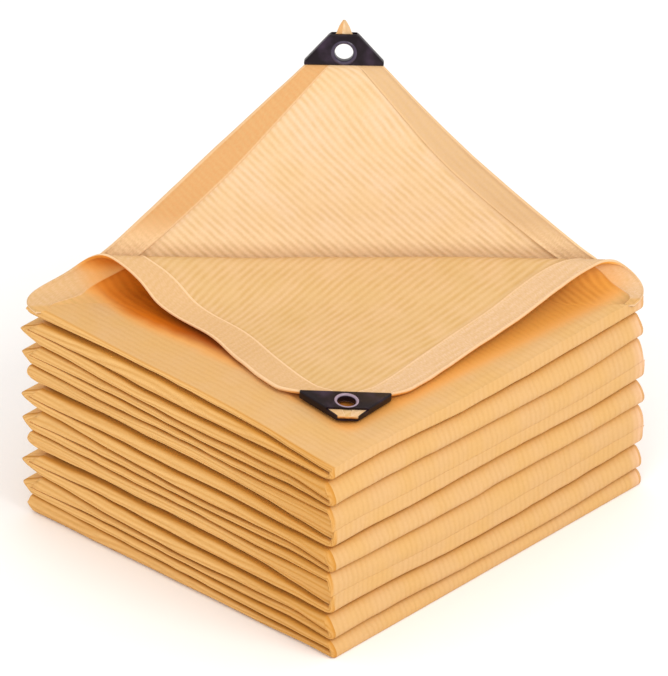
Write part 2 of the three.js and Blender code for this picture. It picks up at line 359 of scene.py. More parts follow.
class Pair(NamedTuple):
    """Two facing points of the cloth in the side view, (along the runs, height), in millimetres."""

    upper: Point
    lower: Point
    upper_lift: Lift
    lower_lift: Lift
    run: float

    def turned(self) -> "Pair":
        """The same points with the cloth's faces changed over."""
        return Pair(self.lower, self.upper, self.lower_lift, self.upper_lift, self.run)

    def facing(self, side: Side) -> "Pair":
        """The pair as it is on a run that leads to the front, or turned on one that leads back."""
        return self if side is Side.FRONT else self.turned()


@dataclass
class StackSizes:
    """Sizes of the folded stack, in millimetres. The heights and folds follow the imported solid's."""

    run_length: float = 366.0
    fold_width: float = 403.0
    turn: float = math.radians(42.7)
    top: Four = (211.0, 207.0, 203.0, 191.0)
    rows: tuple[Space, ...] = (
        Space(
            heights=(199, 201, 196.5, 185.5),
            gaps=(2.6, 3.6, 2.6, 0.9),
            creases=(0.5, -0.6, 0.1, -0.6, -0.3, 0.4, 0.8, 0.2, -0.8),
            mouth=18,
            stand=0,
            point=1.0,
            rounding=(1.0, 1.0, 1.0, 0.6),
        ),
        Space(
            heights=(188, 184, 178.5, 178),
            gaps=(0.6, 2.2, 3.0, 3.4),
            creases=(0.2, -0.4, 0.5, -0.4, 0.0, 1.5, 1.1, 0.6, -0.8),
            mouth=7.5,
            stand=6,
            point=1.25,
            rounding=(0.1, 0.9, 1.0, 1.0),
        ),
        Space(
            heights=(175, 167.5, 164, 158),
            gaps=(2.6, 2.4, 2.4, 1.6),
            creases=(1.5, 2.2, 1.4, 1.1, -0.2, 0.6, 3.4, 5.0, 0.5),
            mouth=18,
            stand=1,
            point=0.9,
            rounding=(1.0, 1.0, 1.0, 0.9),
        ),
        Space(
            heights=(162, 158.3, 155, 151.6),
            gaps=(0.6, 1.8, 1.8, 2.4),
            creases=(-1.0, 0.7, 1.4, 1.3, 1.0, 0.7, 0.9, 2.1, 0.2),
            mouth=6.5,
            stand=6,
            point=1.25,
            rounding=(0.1, 0.8, 0.9, 0.9),
        ),
        Space(
            heights=(153.5, 147.5, 144, 139.5),
            gaps=(1.8, 2.2, 2.4, 1.6),
            creases=(-1.5, -0.4, 0.7, 1.7, 2.5, 2.2, 1.8, 3.6, 3.7),
            mouth=7,
            stand=0,
            point=0.9,
            rounding=(0.9, 0.9, 0.9, 0.9),
        ),
        Space(
            heights=(143, 139, 136.5, 129),
            gaps=(0.12, 0.12, 0.12, 0.12),
            creases=(-0.5, 0.0, 0.5, 0.5, 1.5, 1.2, 1.0, 1.5, 1.0),
            mouth=0.7,
            stand=1,
            point=1.0,
            rounding=(0.08, 0.08, 0.08, 0.08),
        ),
    )
    set_drop: float = 67.0
    runs: int = 18
    uneven: float = 0.7
    uneven_steps: Two = (2.4, 1.9)
    run_out: tuple[float, ...] = (1, -2.5, -3.5, -1.5, -2.5, -1.5)
    right_out: float = 1.5
    right_share: float = 0.4
    front_sag: float = 1.5
    back_sag: float = 1.2
    front_drop: float = 4.8
    wall: float = 5.0
    end_round: float = 6.0
    end_shares: tuple[float, ...] = (0.0, 0.35, 0.65, 0.85, 1.0)
    end_thinning: float = 0.4
    edge_mouth: float = 1.5
    least_gap: float = 0.12
    top_round: float = 0.5
    floor_round: float = 1.0
    least_round: float = 0.05


@dataclass
class StackWaves:
    """The stack's unevenness and where it fades, in millimetres."""

    top: Wave = Wave(0.5, 90, 90, seed=5.0)
    slow: Wave = Wave(1.0, 75, 95, kind_step=3.7, index_step=0.4)
    quick: Wave = Wave(0.5, 26, 60, seed=2, kind_step=9.1, index_step=0.3)
    left_side: Wave = Wave(1.6, 42, 1, seed=2.0)
    right_side: Wave = Wave(0.9, 42, 1, seed=8.0)
    side_step: float = 4.1
    fold: Wave = Wave(0.8, 24, 9, seed=1.0)
    fold_band: Band = Band(33, 0)
    ripple: float = 1.2
    ripple_lengths: Two = (52, 23)
    swell: float = 0.9
    swell_lengths: Two = (75, 80)
    crease_band: Band = Band(80, 5)
    bow_end: float = -20.0
    bow_relief: float = 0.35
    bow_relief_start: float = 120.0
    drop_depth: float = 34.0
    drop_start: float = 40.0
    floor_band: Band = Band(0, 20)
    side_start: float = 0.965
    ply_turns: float = 2.4
    ply_turn: Wave = Wave(0.8, 150, 1, seed=4.0)
    ply_turn_step: float = 1.7
    ply_shift: Wave = Wave(1.6, 110, 1, seed=11.0)
    ply_shift_step: float = 2.3


@dataclass
class StackMasks:
    """Where the stack's colour masks lie: painted shade in the crevices and towards the front of the left
    side, a painted tint on the left side and the fold tips, and a painted highlight at the band ends on the
    front right.

    The bands count in from the stack's edges in millimetres, apart from inset, which counts in shares of the
    sides' rounding.
    """

    inset: Band = Band(0.12, 0.75)
    valley: float = 0.5
    front: Band = Band(22, 8)
    front_relief: float = 0.5
    left_side_painted_shade: float = 0.45
    front_fold_painted_shade: Band = Band(1.5, 10)
    tip_fold_painted_shade: Band = Band(9, 30)
    tip_painted_light: Band = Band(36, 20)
    # Where the painted highlight at the band ends lies.
    highlight_side: Band = Band(14, 3)
    highlight_front: Band = Band(123, 20)


@dataclass
class FoldedStack:
    """The net's stack: one length of cloth laid back and forth, with soft round sides."""

    sizes: StackSizes = field(default_factory=StackSizes)
    waves: StackWaves = field(default_factory=StackWaves)
    bands: StackMasks = field(default_factory=StackMasks)
    fold_steps: int = 14
    run_steps: int = 28
    width_steps: int = 34
    side_steps: int = 16
    side_round: float = 5.2
    side_flat: float = 0.1
    ply: float = 0.8
    ply_width: float = 14.0
    mouth_clear: float = 2.5
    mouth_stretch: float = 1.15
    touching: float = 0.15
    touch_side: Band = Band(6, 20)
    touch_fold: Band = Band(10, 30)
    path_length: float = 0.0

    def __post_init__(self) -> None:
        """Works out the spaces between the runs."""
        self.spaces: list[Space] = []
        sizes = self.sizes
        by_index, by_station = sizes.uneven_steps
        for i in range(sizes.runs - 1):
            row = sizes.rows[i % len(sizes.rows)]
            drop = sizes.set_drop * (i // len(sizes.rows))
            heights = tuple(
                height - drop + sizes.uneven * math.sin(by_index * i + by_station * station)
                for station, height in enumerate(row.heights)
            )
            self.spaces.append(row._replace(heights=heights))
        self.half_run = sizes.run_length / 2
        self.half_fold = sizes.fold_width / 2

    def height(self, heights: Sequence[float], u: float) -> float:
        """Height of a curve at a place along the runs."""
        return spline(heights, (u + self.half_run) / self.sizes.run_length)

    def top_at(self, x: float, y: float) -> float:
        """Height of the stack's upper side below a point of the part."""
        turn = self.sizes.turn
        return self.height(self.sizes.top, x * math.cos(turn) - y * math.sin(turn))

    def run_top(self, run: int, u: float) -> float:
        """Height of a run's upper side.

        Args:
            run: the run, counted from the top.
            u: the place along the runs, in millimetres.

        Returns:
            The height, in millimetres.
        """
        if run == 0:
            return self.height(self.sizes.top, u)
        space = self.spaces[run - 1]
        return self.height(space.heights, u) - self.gap(space, u) / 2

    def run_bottom(self, run: int, u: float) -> float:
        """Height of a run's lower side.

        Args:
            run: the run, counted from the top.
            u: the place along the runs, in millimetres.

        Returns:
            The height, in millimetres.
        """
        if run == self.sizes.runs - 1:
            return 0.0
        space = self.spaces[run]
        return self.height(space.heights, u) + self.gap(space, u) / 2

    def gap(self, space: Space, u: float) -> float:
        """Height of a space at a place along the runs."""
        return max(self.height(space.gaps, u), self.sizes.least_gap)

    def mouth(self, index: int) -> float:
        """How far in a space's mouth lies.

        Args:
            index: the space, or a place past the first or the last one.

        Returns:
            The distance from the fold, in millimetres.
        """
        if 0 <= index < len(self.spaces):
            return self.spaces[index].mouth
        return self.sizes.edge_mouth

    def drawn_in(self, index: int) -> float:
        """How far a face's last rows stay back from the fold's end, to keep them out of a space's mouth."""
        row_length = self.sizes.run_length / self.run_steps
        return max(self.mouth(index) - row_length + self.mouth_clear, 0.0) * self.mouth_stretch

    def lifts(self, run: int) -> tuple[Lift, Lift]:
        """What a run's upper and lower faces move with."""
        return Lift(run - 1, run - 1, 0), Lift(run, run, 0)

    def fold(self, run: int, side: Side) -> list[tuple[Point, Point, float]]:
        """The fold between a run and the next.

        Args:
            run: the upper run.
            side: the end of the stack at which it lies.

        Returns:
            Points on its outer and its inner face, with the share of the way round, from the upper run down.
        """
        end = side.value
        space = self.spaces[run]
        high = self.run_top(run, end * self.half_run)
        low = self.run_bottom(run + 1, end * self.half_run)
        sag = self.sizes.front_sag if side is Side.FRONT else self.sizes.back_sag
        closed = end * (self.half_run - self.sizes.wall)
        middle = self.height(space.heights, closed)
        gap = self.gap(space, closed)
        made = []
        for i in range(self.fold_steps + 1):
            share = i / self.fold_steps
            angle = math.pi * (0.5 - share)
            bulge = math.pi * (0.5 - share**sag)
            depth = self.mouth(run - 1 if bulge > 0 else run + 1) + space.stand
            if space.point > 1:
                back = depth * abs(math.sin(bulge)) ** space.point
            else:
                back = depth * (1 - abs(math.cos(bulge)) ** space.point)
            outer = (
                end * (self.half_run + space.stand - back),
                (high + low) / 2 + (high - low) / 2 * math.sin(angle),
            )
            inner = (
                closed - end * gap / 2 * (1 - math.cos(angle)),
                middle + gap / 2 * math.sin(angle),
            )
            made.append((outer, inner, share))
        return made

    def free_end(self, run: int) -> list[Pair]:
        """A free end of the cloth, from its full thickness to its thin edge.

        Args:
            run: the first run or the last one.

        Returns:
            The pairs, from the thick end on.
        """
        made = []
        for share in self.sizes.end_shares:
            u = -self.half_run + self.sizes.end_round * (1 - share)
            top = self.run_top(run, u)
            bottom = self.run_bottom(run, u)
            thin = (top - bottom) * self.sizes.end_thinning * share**3
            made.append(Pair((u, top - thin), (u, bottom + thin), *self.lifts(run), run))
        return made

    def pairs(self) -> list[Pair]:
        """The cloth in the side view, from its end on top to its end on the floor.

        Returns:
            The pairs, each with the cloth's first face first. That face is the upper one on the first run,
            so it is the lower one on the second.
        """
        made = list(reversed(self.free_end(0)))
        for run in range(self.sizes.runs):
            side = Side.FRONT if run % 2 == 0 else Side.BACK
            above, below = self.lifts(run)
            for i in range(1, self.run_steps):
                u = side.value * self.sizes.run_length * (i / self.run_steps - 0.5)
                to_end = math.copysign((u / self.half_run) ** 4, u)
                ahead = u * side.value > 0
                u_top = u - self.drawn_in(run - 1) * to_end if ahead else u
                u_bottom = u if ahead or run == 0 else u - self.drawn_in(run) * to_end
                top = (u_top, self.run_top(run, u_top))
                bottom = (u_bottom, self.run_bottom(run, u_bottom))
                made.append(Pair(top, bottom, above, below, run).facing(side))
            if run == self.sizes.runs - 1:
                break
            for outer, inner, share in self.fold(run, side):
                out_lift, in_lift = Lift(run - 1, run + 1, share), Lift(run, run, 0)
                made.append(Pair(outer, inner, out_lift, in_lift, run + share).facing(side))
        return made + [pair.turned() for pair in self.free_end(self.sizes.runs - 1)]

    def run_out(self, run: float) -> float:
        """How far a run's side stands out at the front left.

        Args:
            run: the run, or a place between two runs.

        Returns:
            The distance, in millimetres.
        """
        outs = self.sizes.run_out
        index = int(run)
        return mix(outs[index % len(outs)], outs[(index + 1) % len(outs)], run - index)

    def unevenness(self, index: int, u: float, v: float) -> float:
        """How far a space between runs rises over its smooth height, in millimetres.

        Args:
            index: the space, below 0 for the stack's top and past the last one for its underside.
            u: the place along the runs.
            v: the place across the folds.

        Returns:
            The rise. Its creases are placed along the front left, and fade inwards.
        """
        waves = self.waves
        if index >= len(self.spaces):
            return 0.0
        if index < 0:
            return waves.top.at(u, v)
        space = self.spaces[index]
        kind = index % len(self.sizes.rows)
        crease = self.height(space.creases, u) * waves.crease_band.at(self.half_fold + v)
        relief = waves.bow_relief * smoothstep(v, waves.bow_relief_start, self.half_fold)
        bow = smoothstep(v, -self.half_fold, waves.bow_end) * (1 - relief)
        depth = smoothstep(space.heights[-1], 0, waves.drop_depth)
        depth *= smoothstep(u, waves.drop_start, self.half_run)
        crease -= self.sizes.front_drop * bow * depth
        return crease + waves.slow.at(u, v, kind, index) + waves.quick.at(u, v, kind, index)

    def lifted(self, lift: Lift, u: float, v: float) -> float:
        """The unevenness of a face that moves with one or two spaces.

        Args:
            lift: the spaces.
            u: the place along the runs, in millimetres.
            v: the place across the folds, in millimetres.

        Returns:
            The rise, in millimetres.
        """
        first = self.unevenness(lift.first, u, v)
        if lift.share == 0:
            return first
        return mix(first, self.unevenness(lift.second, u, v), lift.share)

    def rounding(self, lift: Lift, u: float) -> float:
        """How round a face's side edges are, from the spaces that it moves with.

        Args:
            lift: the spaces.
            u: the place along the runs, in millimetres.

        Returns:
            The share, 1 for a round edge.
        """
        shares = []
        for index in (lift.first, lift.second):
            if 0 <= index < len(self.spaces):
                shares.append(max(self.height(self.spaces[index].rounding, u), self.sizes.least_round))
            else:
                shares.append(self.sizes.floor_round if index > 0 else self.sizes.top_round)
        return mix(shares[0], shares[1], lift.share)

    def valley(self, run: float, u: float, share: float) -> float:
        """How deep a point of a run's side lies between two of its plies.

        Args:
            run: the run, or a place between two runs.
            u: the place along the runs, in millimetres.
            share: share of the cloth's thickness from the lower face.

        Returns:
            The depth, 1 for the deepest.
        """
        waves = self.waves
        turns = waves.ply_turns + waves.ply_turn.at(u, run * waves.ply_turn_step)
        shift = waves.ply_shift.at(u, run * waves.ply_shift_step)
        wave = 0.5 - 0.5 * math.cos(math.tau * (turns * share + shift))
        return wave**2 * math.sin(math.pi * share)

    def masks(
        self, pair: Pair, share: float, on_side: bool, inset: float, valley: float, v: float
    ) -> dict[str, float]:
        """The colour masks at a point of the stack.

        Args:
            pair: the point's place in the side view.
            share: share of the cloth's thickness from the lower face.
            on_side: whether it lies on a side of the runs.
            inset: how far the side is rounded back there, in millimetres.
            valley: how deep it lies between two plies.
            v: its place across the folds, in millimetres.

        Returns:
            The masks by name.
        """
        bands = self.bands
        u = mix(pair.lower[0], pair.upper[0], share)
        from_fold = self.half_run - abs(u)
        from_front = self.half_run - u
        made = {"gap": 0.0}
        # On the sides: painted shade in the rounded crevices and between plies, more towards the front on
        # the left side; the left side also takes the painted inner tint.
        if on_side:
            made["inside"] = 1.0 if v < 0 else 0.0
            relief = bands.front_relief * bands.front.at(from_front)
            dark = bands.inset.at(inset / self.side_round) * (1 - relief)
            left_side_painted_shade = bands.left_side_painted_shade * smoothstep(u, 0, self.half_run) if v < 0 else 0.0
            made["gap"] = min(1.0, dark + bands.valley * valley + left_side_painted_shade)
        # The stack's top takes the painted shade under the rolled corner.
        elif share == 1 and pair.run == 0:
            made["painted_shade"] = 1.0
        # On the folds' faces: painted shade in the mouths, and painted light on the fold tips at the left.
        elif pair.run:
            made["gap"] = (bands.front_fold_painted_shade if u > 0 else bands.tip_fold_painted_shade).at(from_fold)
            made["inside"] = bands.tip_painted_light.at(from_fold) if u < 0 else 0.0
        # Painted highlight at the band ends on the front right, where the folds round off.
        end = bands.highlight_side.at(self.half_fold - v) * bands.highlight_front.at(from_front)
        made["pale"] = end * (1 - made["gap"])
        return made

    def closing(self, lift: Lift, run: float, u: float, v: float) -> float:
        """How far a run's face moves towards the next run inside the stack, where the plies touch.

        Args:
            lift: the spaces that the face moves with.
            run: its run.
            u: the place along the runs, in millimetres.
            v: the place across the folds, in millimetres.

        Returns:
            The distance, in millimetres and upwards.
        """
        if lift.share or not 0 <= lift.first < len(self.spaces):
            return 0.0
        inside = self.touch_side.at(self.half_fold - abs(v)) * self.touch_fold.at(self.half_run - abs(u))
        amount = (self.gap(self.spaces[lift.first], u) / 2 - self.touching) * inside
        return amount if lift.first < run else -amount

    def loop(self) -> list[Point]:
        """The way round the cloth: its upper face, its right side, its lower face and its left side.

        Returns:
            For each point how far across the folds it lies, -1 to 1 between the sides' flat edges and 2 or
            -2 on the sides, and the share of the thickness from the lower face.
        """
        faces = [2 * i / self.width_steps - 1 for i in range(self.width_steps + 1)]
        sides = [0.5 - 0.5 * math.cos(math.pi * i / self.side_steps) for i in range(self.side_steps + 1)]
        made = [(across, 1.0) for across in faces]
        made += [(2.0, share) for share in reversed(sides)]
        made += [(across, 0.0) for across in reversed(faces)]
        made += [(-2.0, share) for share in sides]
        made.append(made[0])
        return made

    def side_inset(self, pair: Pair, share: float, valley: float) -> float:
        """How far the side of the runs lies back at a point, in millimetres.

        Args:
            pair: the point's place in the side view.
            share: share of the cloth's thickness from the lower face.
            valley: how deep it lies between two plies.

        Returns:
            The distance, in millimetres.
        """
        from_middle = 2 * share - 1
        if from_middle > 0:
            rounding = self.rounding(pair.upper_lift, pair.upper[0])
        else:
            rounding = self.rounding(pair.lower_lift, pair.lower[0])
        inset = self.side_round * rounding * (1 - math.sqrt(max(0.0, 1 - from_middle**2)))
        return min(inset + self.ply * valley, self.side_round - self.side_flat)

    def face_height(self, place: Point, lift: Lift, run: float, v: float) -> float:
        """Height of a point of one of the cloth's faces with its unevenness, in millimetres.

        Args:
            place: the point in the side view.
            lift: the spaces that its face moves with.
            run: its run.
            v: the place across the folds, in millimetres.

        Returns:
            The height, in millimetres.
        """
        u, z = place
        z += self.lifted(lift, u, v) * self.waves.floor_band.at(z)
        return z + self.closing(lift, run, u, v)

    def placed(self, u: float, v: float, z: float, run: float) -> Vector:
        """A point of the stack in the part's frame, with the waves of its sides.

        Args:
            u: the place along the runs, in millimetres.
            v: the place across the folds, in millimetres.
            z: the height, in millimetres.
            run: the run that it lies on.

        Returns:
            The point in metres.
        """
        sizes, waves = self.sizes, self.waves
        off_floor = waves.floor_band.at(z)
        to_side = v / self.half_fold
        at_side = smoothstep(abs(to_side), waves.side_start, 1)
        layer = waves.side_step * (round(run) % len(sizes.rows))
        if to_side < 0:
            out = self.run_out(run) * off_floor * to_side**2
            out += abs(waves.left_side.at(u, layer)) * at_side
        else:
            out = (sizes.right_share * self.run_out(run) + sizes.right_out) * off_floor * to_side**2
            out -= abs(waves.right_side.at(u, layer)) * at_side
        across, up = waves.ripple_lengths
        ripple = waves.ripple * off_floor * math.sin(v / across + z / up) * max(0.0, u / self.half_run)
        ripple += waves.fold.at(v, z) * off_floor * waves.fold_band.at(self.half_run - abs(u))
        across, along = waves.swell_lengths
        swell = waves.swell * off_floor * math.sin(v / across) * math.cos(u / along)
        cosine, sine = math.cos(sizes.turn), math.sin(sizes.turn)
        x = (u + ripple) * cosine + (v + out) * sine
        y = -(u + ripple) * sine + (v + out) * cosine
        return Vector((x, y, max(z + swell * off_floor, 0.0))) * MM

    def build(self) -> bpy.types.Object:
        """Makes the stack's mesh.

        Returns:
            The stack as one closed sheet.
        """
        pairs = self.pairs()
        loop = self.loop()
        paths = [0.0]
        for before, after in zip(pairs, pairs[1:]):
            ahead = math.dist(before.upper, after.upper) + math.dist(before.lower, after.lower)
            paths.append(paths[-1] + ahead / 2)
        flat = self.half_fold - self.side_round

        def spot(column: int, row: int) -> Spot:
            """The stack's point at a column and a row of the grid.

            Args:
                column: the column, counted round the cloth.
                row: the row, counted along it.

            Returns:
                The point with its masks.
            """
            pair = pairs[row]
            across, share = loop[column]
            on_side = abs(across) > 1
            valley = self.valley(pair.run, pair.upper[0], share) if on_side else 0.0
            inset = self.side_inset(pair, share, valley)
            v = math.copysign(self.half_fold - inset, across) if on_side else across * flat
            high = self.face_height(pair.upper, pair.upper_lift, pair.run, v)
            low = self.face_height(pair.lower, pair.lower_lift, pair.run, v)
            u = mix(pair.lower[0], pair.upper[0], share)
            place = self.placed(u, v, mix(low, high, share), pair.run)
            along_side = (0.5 - share) * self.ply_width
            weave_v = math.copysign(self.half_fold + self.ply_width / 2 + along_side, v) if on_side else v
            masks = self.masks(pair, share, on_side, inset, valley, v)
            return Spot(place, (weave_v * MM, paths[row] * MM), **masks)

        self.path_length = paths[-1] * MM
        return closed_strip("net_stack", len(loop) - 1, len(pairs) - 1, spot)

    def dress(self, piece: bpy.types.Object, knit: bpy.types.Material) -> None:
        """Gives the stack its finish."""
        settle(piece, knit, "net")


# The loose corners.


class Edge(NamedTuple):
    """A corner's edge at one row of the cloth, in millimetres.

    Attributes:
        along: the way along the cloth.
        half: half the cloth's width.
        back: how far behind the stack's diagonal the edge lies.
        up: how high it lies over the stack.
    """

    along: float
    half: float
    back: float
    up: float


ROLL_LEFT = (
    Edge(-12, 262, -12, -1.4),
    Edge(0, 270, 0, -0.2),
    Edge(15, 267, 15, 3.5),
    Edge(33, 243, 25, 16),
    Edge(48, 225, 25, 30),
    Edge(60, 210, 17, 37),
    Edge(72, 194, 6, 31.5),
    Edge(84, 181, -6, 24.5),
    Edge(104, 163, -26, 11),
    Edge(146, 119, -67, 3.5),
    Edge(186, 91, -113, 3.4),
    Edge(212, 66, -148, 3.6),
    Edge(224, 53, -159, 5),
    Edge(231, 35, -165, 6.4),
)
ROLL_RIGHT = (
    Edge(-12, 262, -12, -1.4),
    Edge(0, 270, 0, -0.2),
    Edge(15, 268, 13, 3.5),
    Edge(27, 257, 20, 12),
    Edge(38, 243, 21, 20.5),
    Edge(52, 226, 14, 25),
    Edge(66, 209, 2, 23),
    Edge(90, 185, -22, 20),
    Edge(121, 155.5, -52, 14),
    Edge(172, 105, -102, 8),
    Edge(212, 65, -145, 5),
    Edge(224, 52, -157, 5.6),
    Edge(231, 35, -165, 6.4),
)
RAISED_LEFT = (
    Edge(6, 250, 18, 0.0),
    Edge(20, 244, 28, 3.5),
    Edge(38, 225, 34, 18),
    Edge(60, 200, 35, 40),
    Edge(145, 117, 42.8, 120),
    Edge(231, 33.4, 54, 202),
)
RAISED_RIGHT = (
    Edge(6, 250, 18, 0.0),
    Edge(20, 244, 27, 2.5),
    Edge(38, 229, 34, 11),
    Edge(60, 206, 35.5, 29),
    Edge(145, 115, 42.8, 114),
    Edge(231, 33.4, 54, 202),
)


class TipWidth(NamedTuple):
    """Half the cloth's width at a place inside a clip or past it, in millimetres."""

    along: float
    half: float


ROLL_TIP = (
    TipWidth(231, 34.8),
    TipWidth(245, 24),
    TipWidth(253, 18.4),
    TipWidth(257, 16),
    TipWidth(260, 13.8),
    TipWidth(263, 11.2),
    TipWidth(265, 9.4),
)
RAISED_TIP = (
    TipWidth(231, 33.4),
    TipWidth(254, 11),
    TipWidth(260, 6.8),
    TipWidth(264, 5.4),
    TipWidth(269, 3),
    TipWidth(272, 1),
)


class Column(NamedTuple):
    """A line of a corner's grid: its place across, half the cloth's thickness, and the masks."""

    across: float
    thick: float
    hem: float
    welt: float


@dataclass
class LooseCorner:
    """A corner of the net that is not folded in: one sheet with hems and the round welts at their edges.

    Its rows are counted along the cloth in millimetres, from the stack's diagonal to the corner's tip. The
    bands called rows start and end at such a row.
    """

    name: str
    left: tuple[Edge, ...]
    right: tuple[Edge, ...]
    tip: tuple[TipWidth, ...]
    tip_slope: Two
    settled: bool
    stack: FoldedStack
    inner_hems: Two = (1.0, 1.0)
    hem_taper: float = 1.0
    clip_start: float = 231.0
    tip_length: float = 272.0
    hole_from_base: float = 14.0
    cloth_hole: float = 10.7
    hole_steps: int = 48
    hole_depth: float = 12.0
    slope_across: float = 0.02
    slope_along: float = 0.5
    shift: float = 8.5
    tip_turn: float = math.radians(-2)
    lean: float = 0.6
    hem_width: float = 25.0
    hem_past: float = 0.4
    cloth: float = 1.0
    hem: float = 1.45
    welt: float = 2.0
    clip_cloth: float = 1.5
    row_step: float = 2.6
    inner_columns: int = 44
    slow_wave: Wave = Wave(0.8, 62, 62, seed=3.3)
    edge_wave: Wave = Wave(0.72, 17, 17, seed=7.7)
    edge_reach: float = 30.0
    calm_foot: Band = Band(0, 25)
    calm_clip: float = 25.0
    into_clip: float = 3.0
    turn_start: float = 20.0
    shift_rows: Band = Band(0, 50)
    free_rows: Band = Band(30, 200)
    taper_rows: Band = Band(120, 222)
    foot_rows: Two = (-8, -4)
    foot_share: float = 0.3
    foot_end: float = 20.0
    narrow_rows: Band = Band(42, 64)
    hem_most: float = 0.78
    joined: Band = Band(0.6, 0.78)
    middle: Band = Band(-0.1, 0.1)
    inside_hem_rows: Band = Band(-9, 1)
    # Where the hems take less of the painted shade.
    painted_shade_hem_rows: Band = Band(30, 50)
    painted_shade_hem: float = 0.6
    # Rows near the foot that take painted light.
    painted_light_rows: Band = Band(92, 46)

    def __post_init__(self) -> None:
        """Keeps the edges as smooth tables."""
        self.edges = (SmoothTable(self.left), SmoothTable(self.right))
        self.tip_table = SmoothTable(self.tip)
        sizes = self.stack.sizes
        self.diagonal_turn = math.atan2(sizes.fold_width, sizes.run_length) - sizes.turn

    def edge_at(self, side: int, along: float) -> tuple[float, float, float]:
        """Half width, distance behind the diagonal and height of an edge, straight on inside the clip.

        Args:
            side: 0 for the left edge, 1 for the right one.
            along: the way along the cloth, in millimetres.

        Returns:
            The three numbers in millimetres.
        """
        half, back, up = self.edges[side].at(along)
        if along <= self.clip_start:
            return half, back, up
        past = along - self.clip_start
        return self.tip_table.at(along)[0], back + self.tip_slope[0] * past, up + self.tip_slope[1] * past

    def surface(self, across: float, along: float) -> Vector:
        """A point of the cloth's middle surface.

        Args:
            across: -1 at the left edge, 1 at the right one.
            along: the way along the cloth, in millimetres.

        Returns:
            The point in millimetres.
        """
        left = self.edge_at(0, along)
        right = self.edge_at(1, along)
        share = min(max((across + 1) / 2, 0.0), 1.0) ** self.lean
        back = mix(left[1], right[1], share)
        up = mix(left[2], right[2], share)
        side = across * (left[0] if across < 0 else right[0])
        turn = mix(self.diagonal_turn, self.tip_turn, smoothstep(along, self.turn_start, self.clip_start))
        past = back - self.edge_at(0, self.clip_start)[1] if along > self.clip_start else 0.0
        x = self.shift * self.shift_rows.at(along) - past * math.tan(turn) + side * math.cos(turn)
        y = back + side * math.sin(turn)
        level = self.stack.height(self.stack.sizes.top, 0)
        free = 0.0 if self.settled else self.free_rows.at(along)
        return Vector((x, y, mix(self.stack.top_at(x, y), level, free) + up))

    def axes(self, across: float, along: float) -> tuple[Vector, Vector]:
        """Directions along the cloth and out of it at a point.

        Args:
            across: -1 at the left edge, 1 at the right one.
            along: the way along the cloth, in millimetres.

        Returns:
            Both directions.
        """
        right = self.surface(min(across + self.slope_across, 1), along)
        left = self.surface(max(across - self.slope_across, -1), along)
        ahead = self.surface(across, along + self.slope_along)
        behind = self.surface(across, along - self.slope_along)
        forward = (ahead - behind).normalized()
        return forward, (right - left).cross(forward).normalized()

    def half_width(self, along: float) -> float:
        """Half the cloth's width at a row."""
        return (self.surface(1, along) - self.surface(-1, along)).length / 2

    def clip_matrix(self) -> Matrix:
        """Where the clip sits: the eyelet's middle, with X across, Y towards the tip and Z outwards.

        Returns:
            The matrix, with its place in millimetres.
        """
        along = self.clip_start + self.hole_from_base
        forward, out = self.axes(0, along)
        square = forward.cross(out)
        place = self.surface(0, along)
        rotation = Matrix((square, forward, out)).transposed().to_4x4()
        return Matrix.Translation(place) @ rotation

    def hem_columns(self) -> list[Column]:
        """The hem from its free edge inwards, across being the distance in from the edge.

        Returns:
            The columns of one hem.
        """
        seam = self.hem_width
        return [
            Column(0.0, 0.35, 1.0, 1.0),
            Column(0.35, 1.35, 1.0, 1.0),
            Column(1.0, self.welt, 1.0, 1.0),
            Column(1.8, 1.8, 1.0, 0.6),
            Column(2.6, self.hem, 1.0, 0.0),
            Column(5.5, self.hem + 0.1, 1.0, 0.0),
            Column(10.0, self.hem + 0.15, 1.0, 0.0),
            Column(15.0, self.hem + 0.15, 1.0, 0.0),
            Column(19.5, self.hem + 0.1, 1.0, 0.0),
            Column(seam - 2.4, self.hem, 1.0, 0.0),
            Column(seam - 1.6, 1.8, 1.0, 0.7),
            Column(seam - 0.9, self.welt, 1.0, 1.0),
            Column(seam - 0.2, 1.5, 0.8, 0.7),
            Column(seam + self.hem_past, self.cloth, 0.0, 0.0),
        ]

    def columns_at(self, along: float) -> list[Column]:
        """The cloth's columns at one row, from edge to edge.

        Args:
            along: the way along the cloth, in millimetres.

        Returns:
            The columns, with their places across from -1 to 1.
        """
        slanted = math.sqrt(2) / self.half_width(along)
        reach = (self.hem_width + self.hem_past) * slanted
        in_clip = smoothstep(along, self.clip_start - self.into_clip, self.clip_start)
        taper = mix(1.0, self.hem_taper, self.taper_rows.at(along))
        sides = []
        for inner_hem in self.inner_hems:
            start, end = self.foot_rows[0], self.foot_end / inner_hem + self.foot_rows[1]
            foot = 1.0 if inner_hem == 1 else mix(self.foot_share, 1.0, smoothstep(along, start, end))
            narrow = mix(inner_hem * foot, taper, self.narrow_rows.at(along))
            squeeze = min(narrow, self.hem_most / reach)
            hems = []
            for item in self.hem_columns():
                thick = mix(item.thick, min(item.thick, self.clip_cloth), in_clip)
                hems.append(item._replace(across=1 - item.across * slanted * squeeze, thick=thick))
            sides.append(hems)
        left, right = sides
        cloth = mix(self.cloth, self.hem, self.joined.at(1 - right[-1].across))
        columns = [item._replace(across=-item.across) for item in left]
        for i in range(1, self.inner_columns):
            across = mix(-left[-1].across, right[-1].across, i / self.inner_columns)
            columns.append(Column(across, cloth, 0.0, 0.0))
        return columns + list(reversed(right))

    def uneven(self, across: float, along: float, width: float) -> float:
        """How far the cloth lifts from its smooth surface, in millimetres.

        It lies flat in its clip.

        Args:
            across: -1 at the left edge, 1 at the right one.
            along: the way along the cloth, in millimetres.
            width: half the cloth's width there.

        Returns:
            The distance, in millimetres.
        """
        calm = 1 - smoothstep(along, self.clip_start - self.calm_clip, self.clip_start)
        calm *= self.calm_foot.at(along)
        side = across * width
        edge = smoothstep(abs(across), 1 - self.edge_reach / max(width, self.edge_reach + 1), 1)
        return calm * (self.slow_wave.at(side, along) + self.edge_wave.at(side, along) * edge)

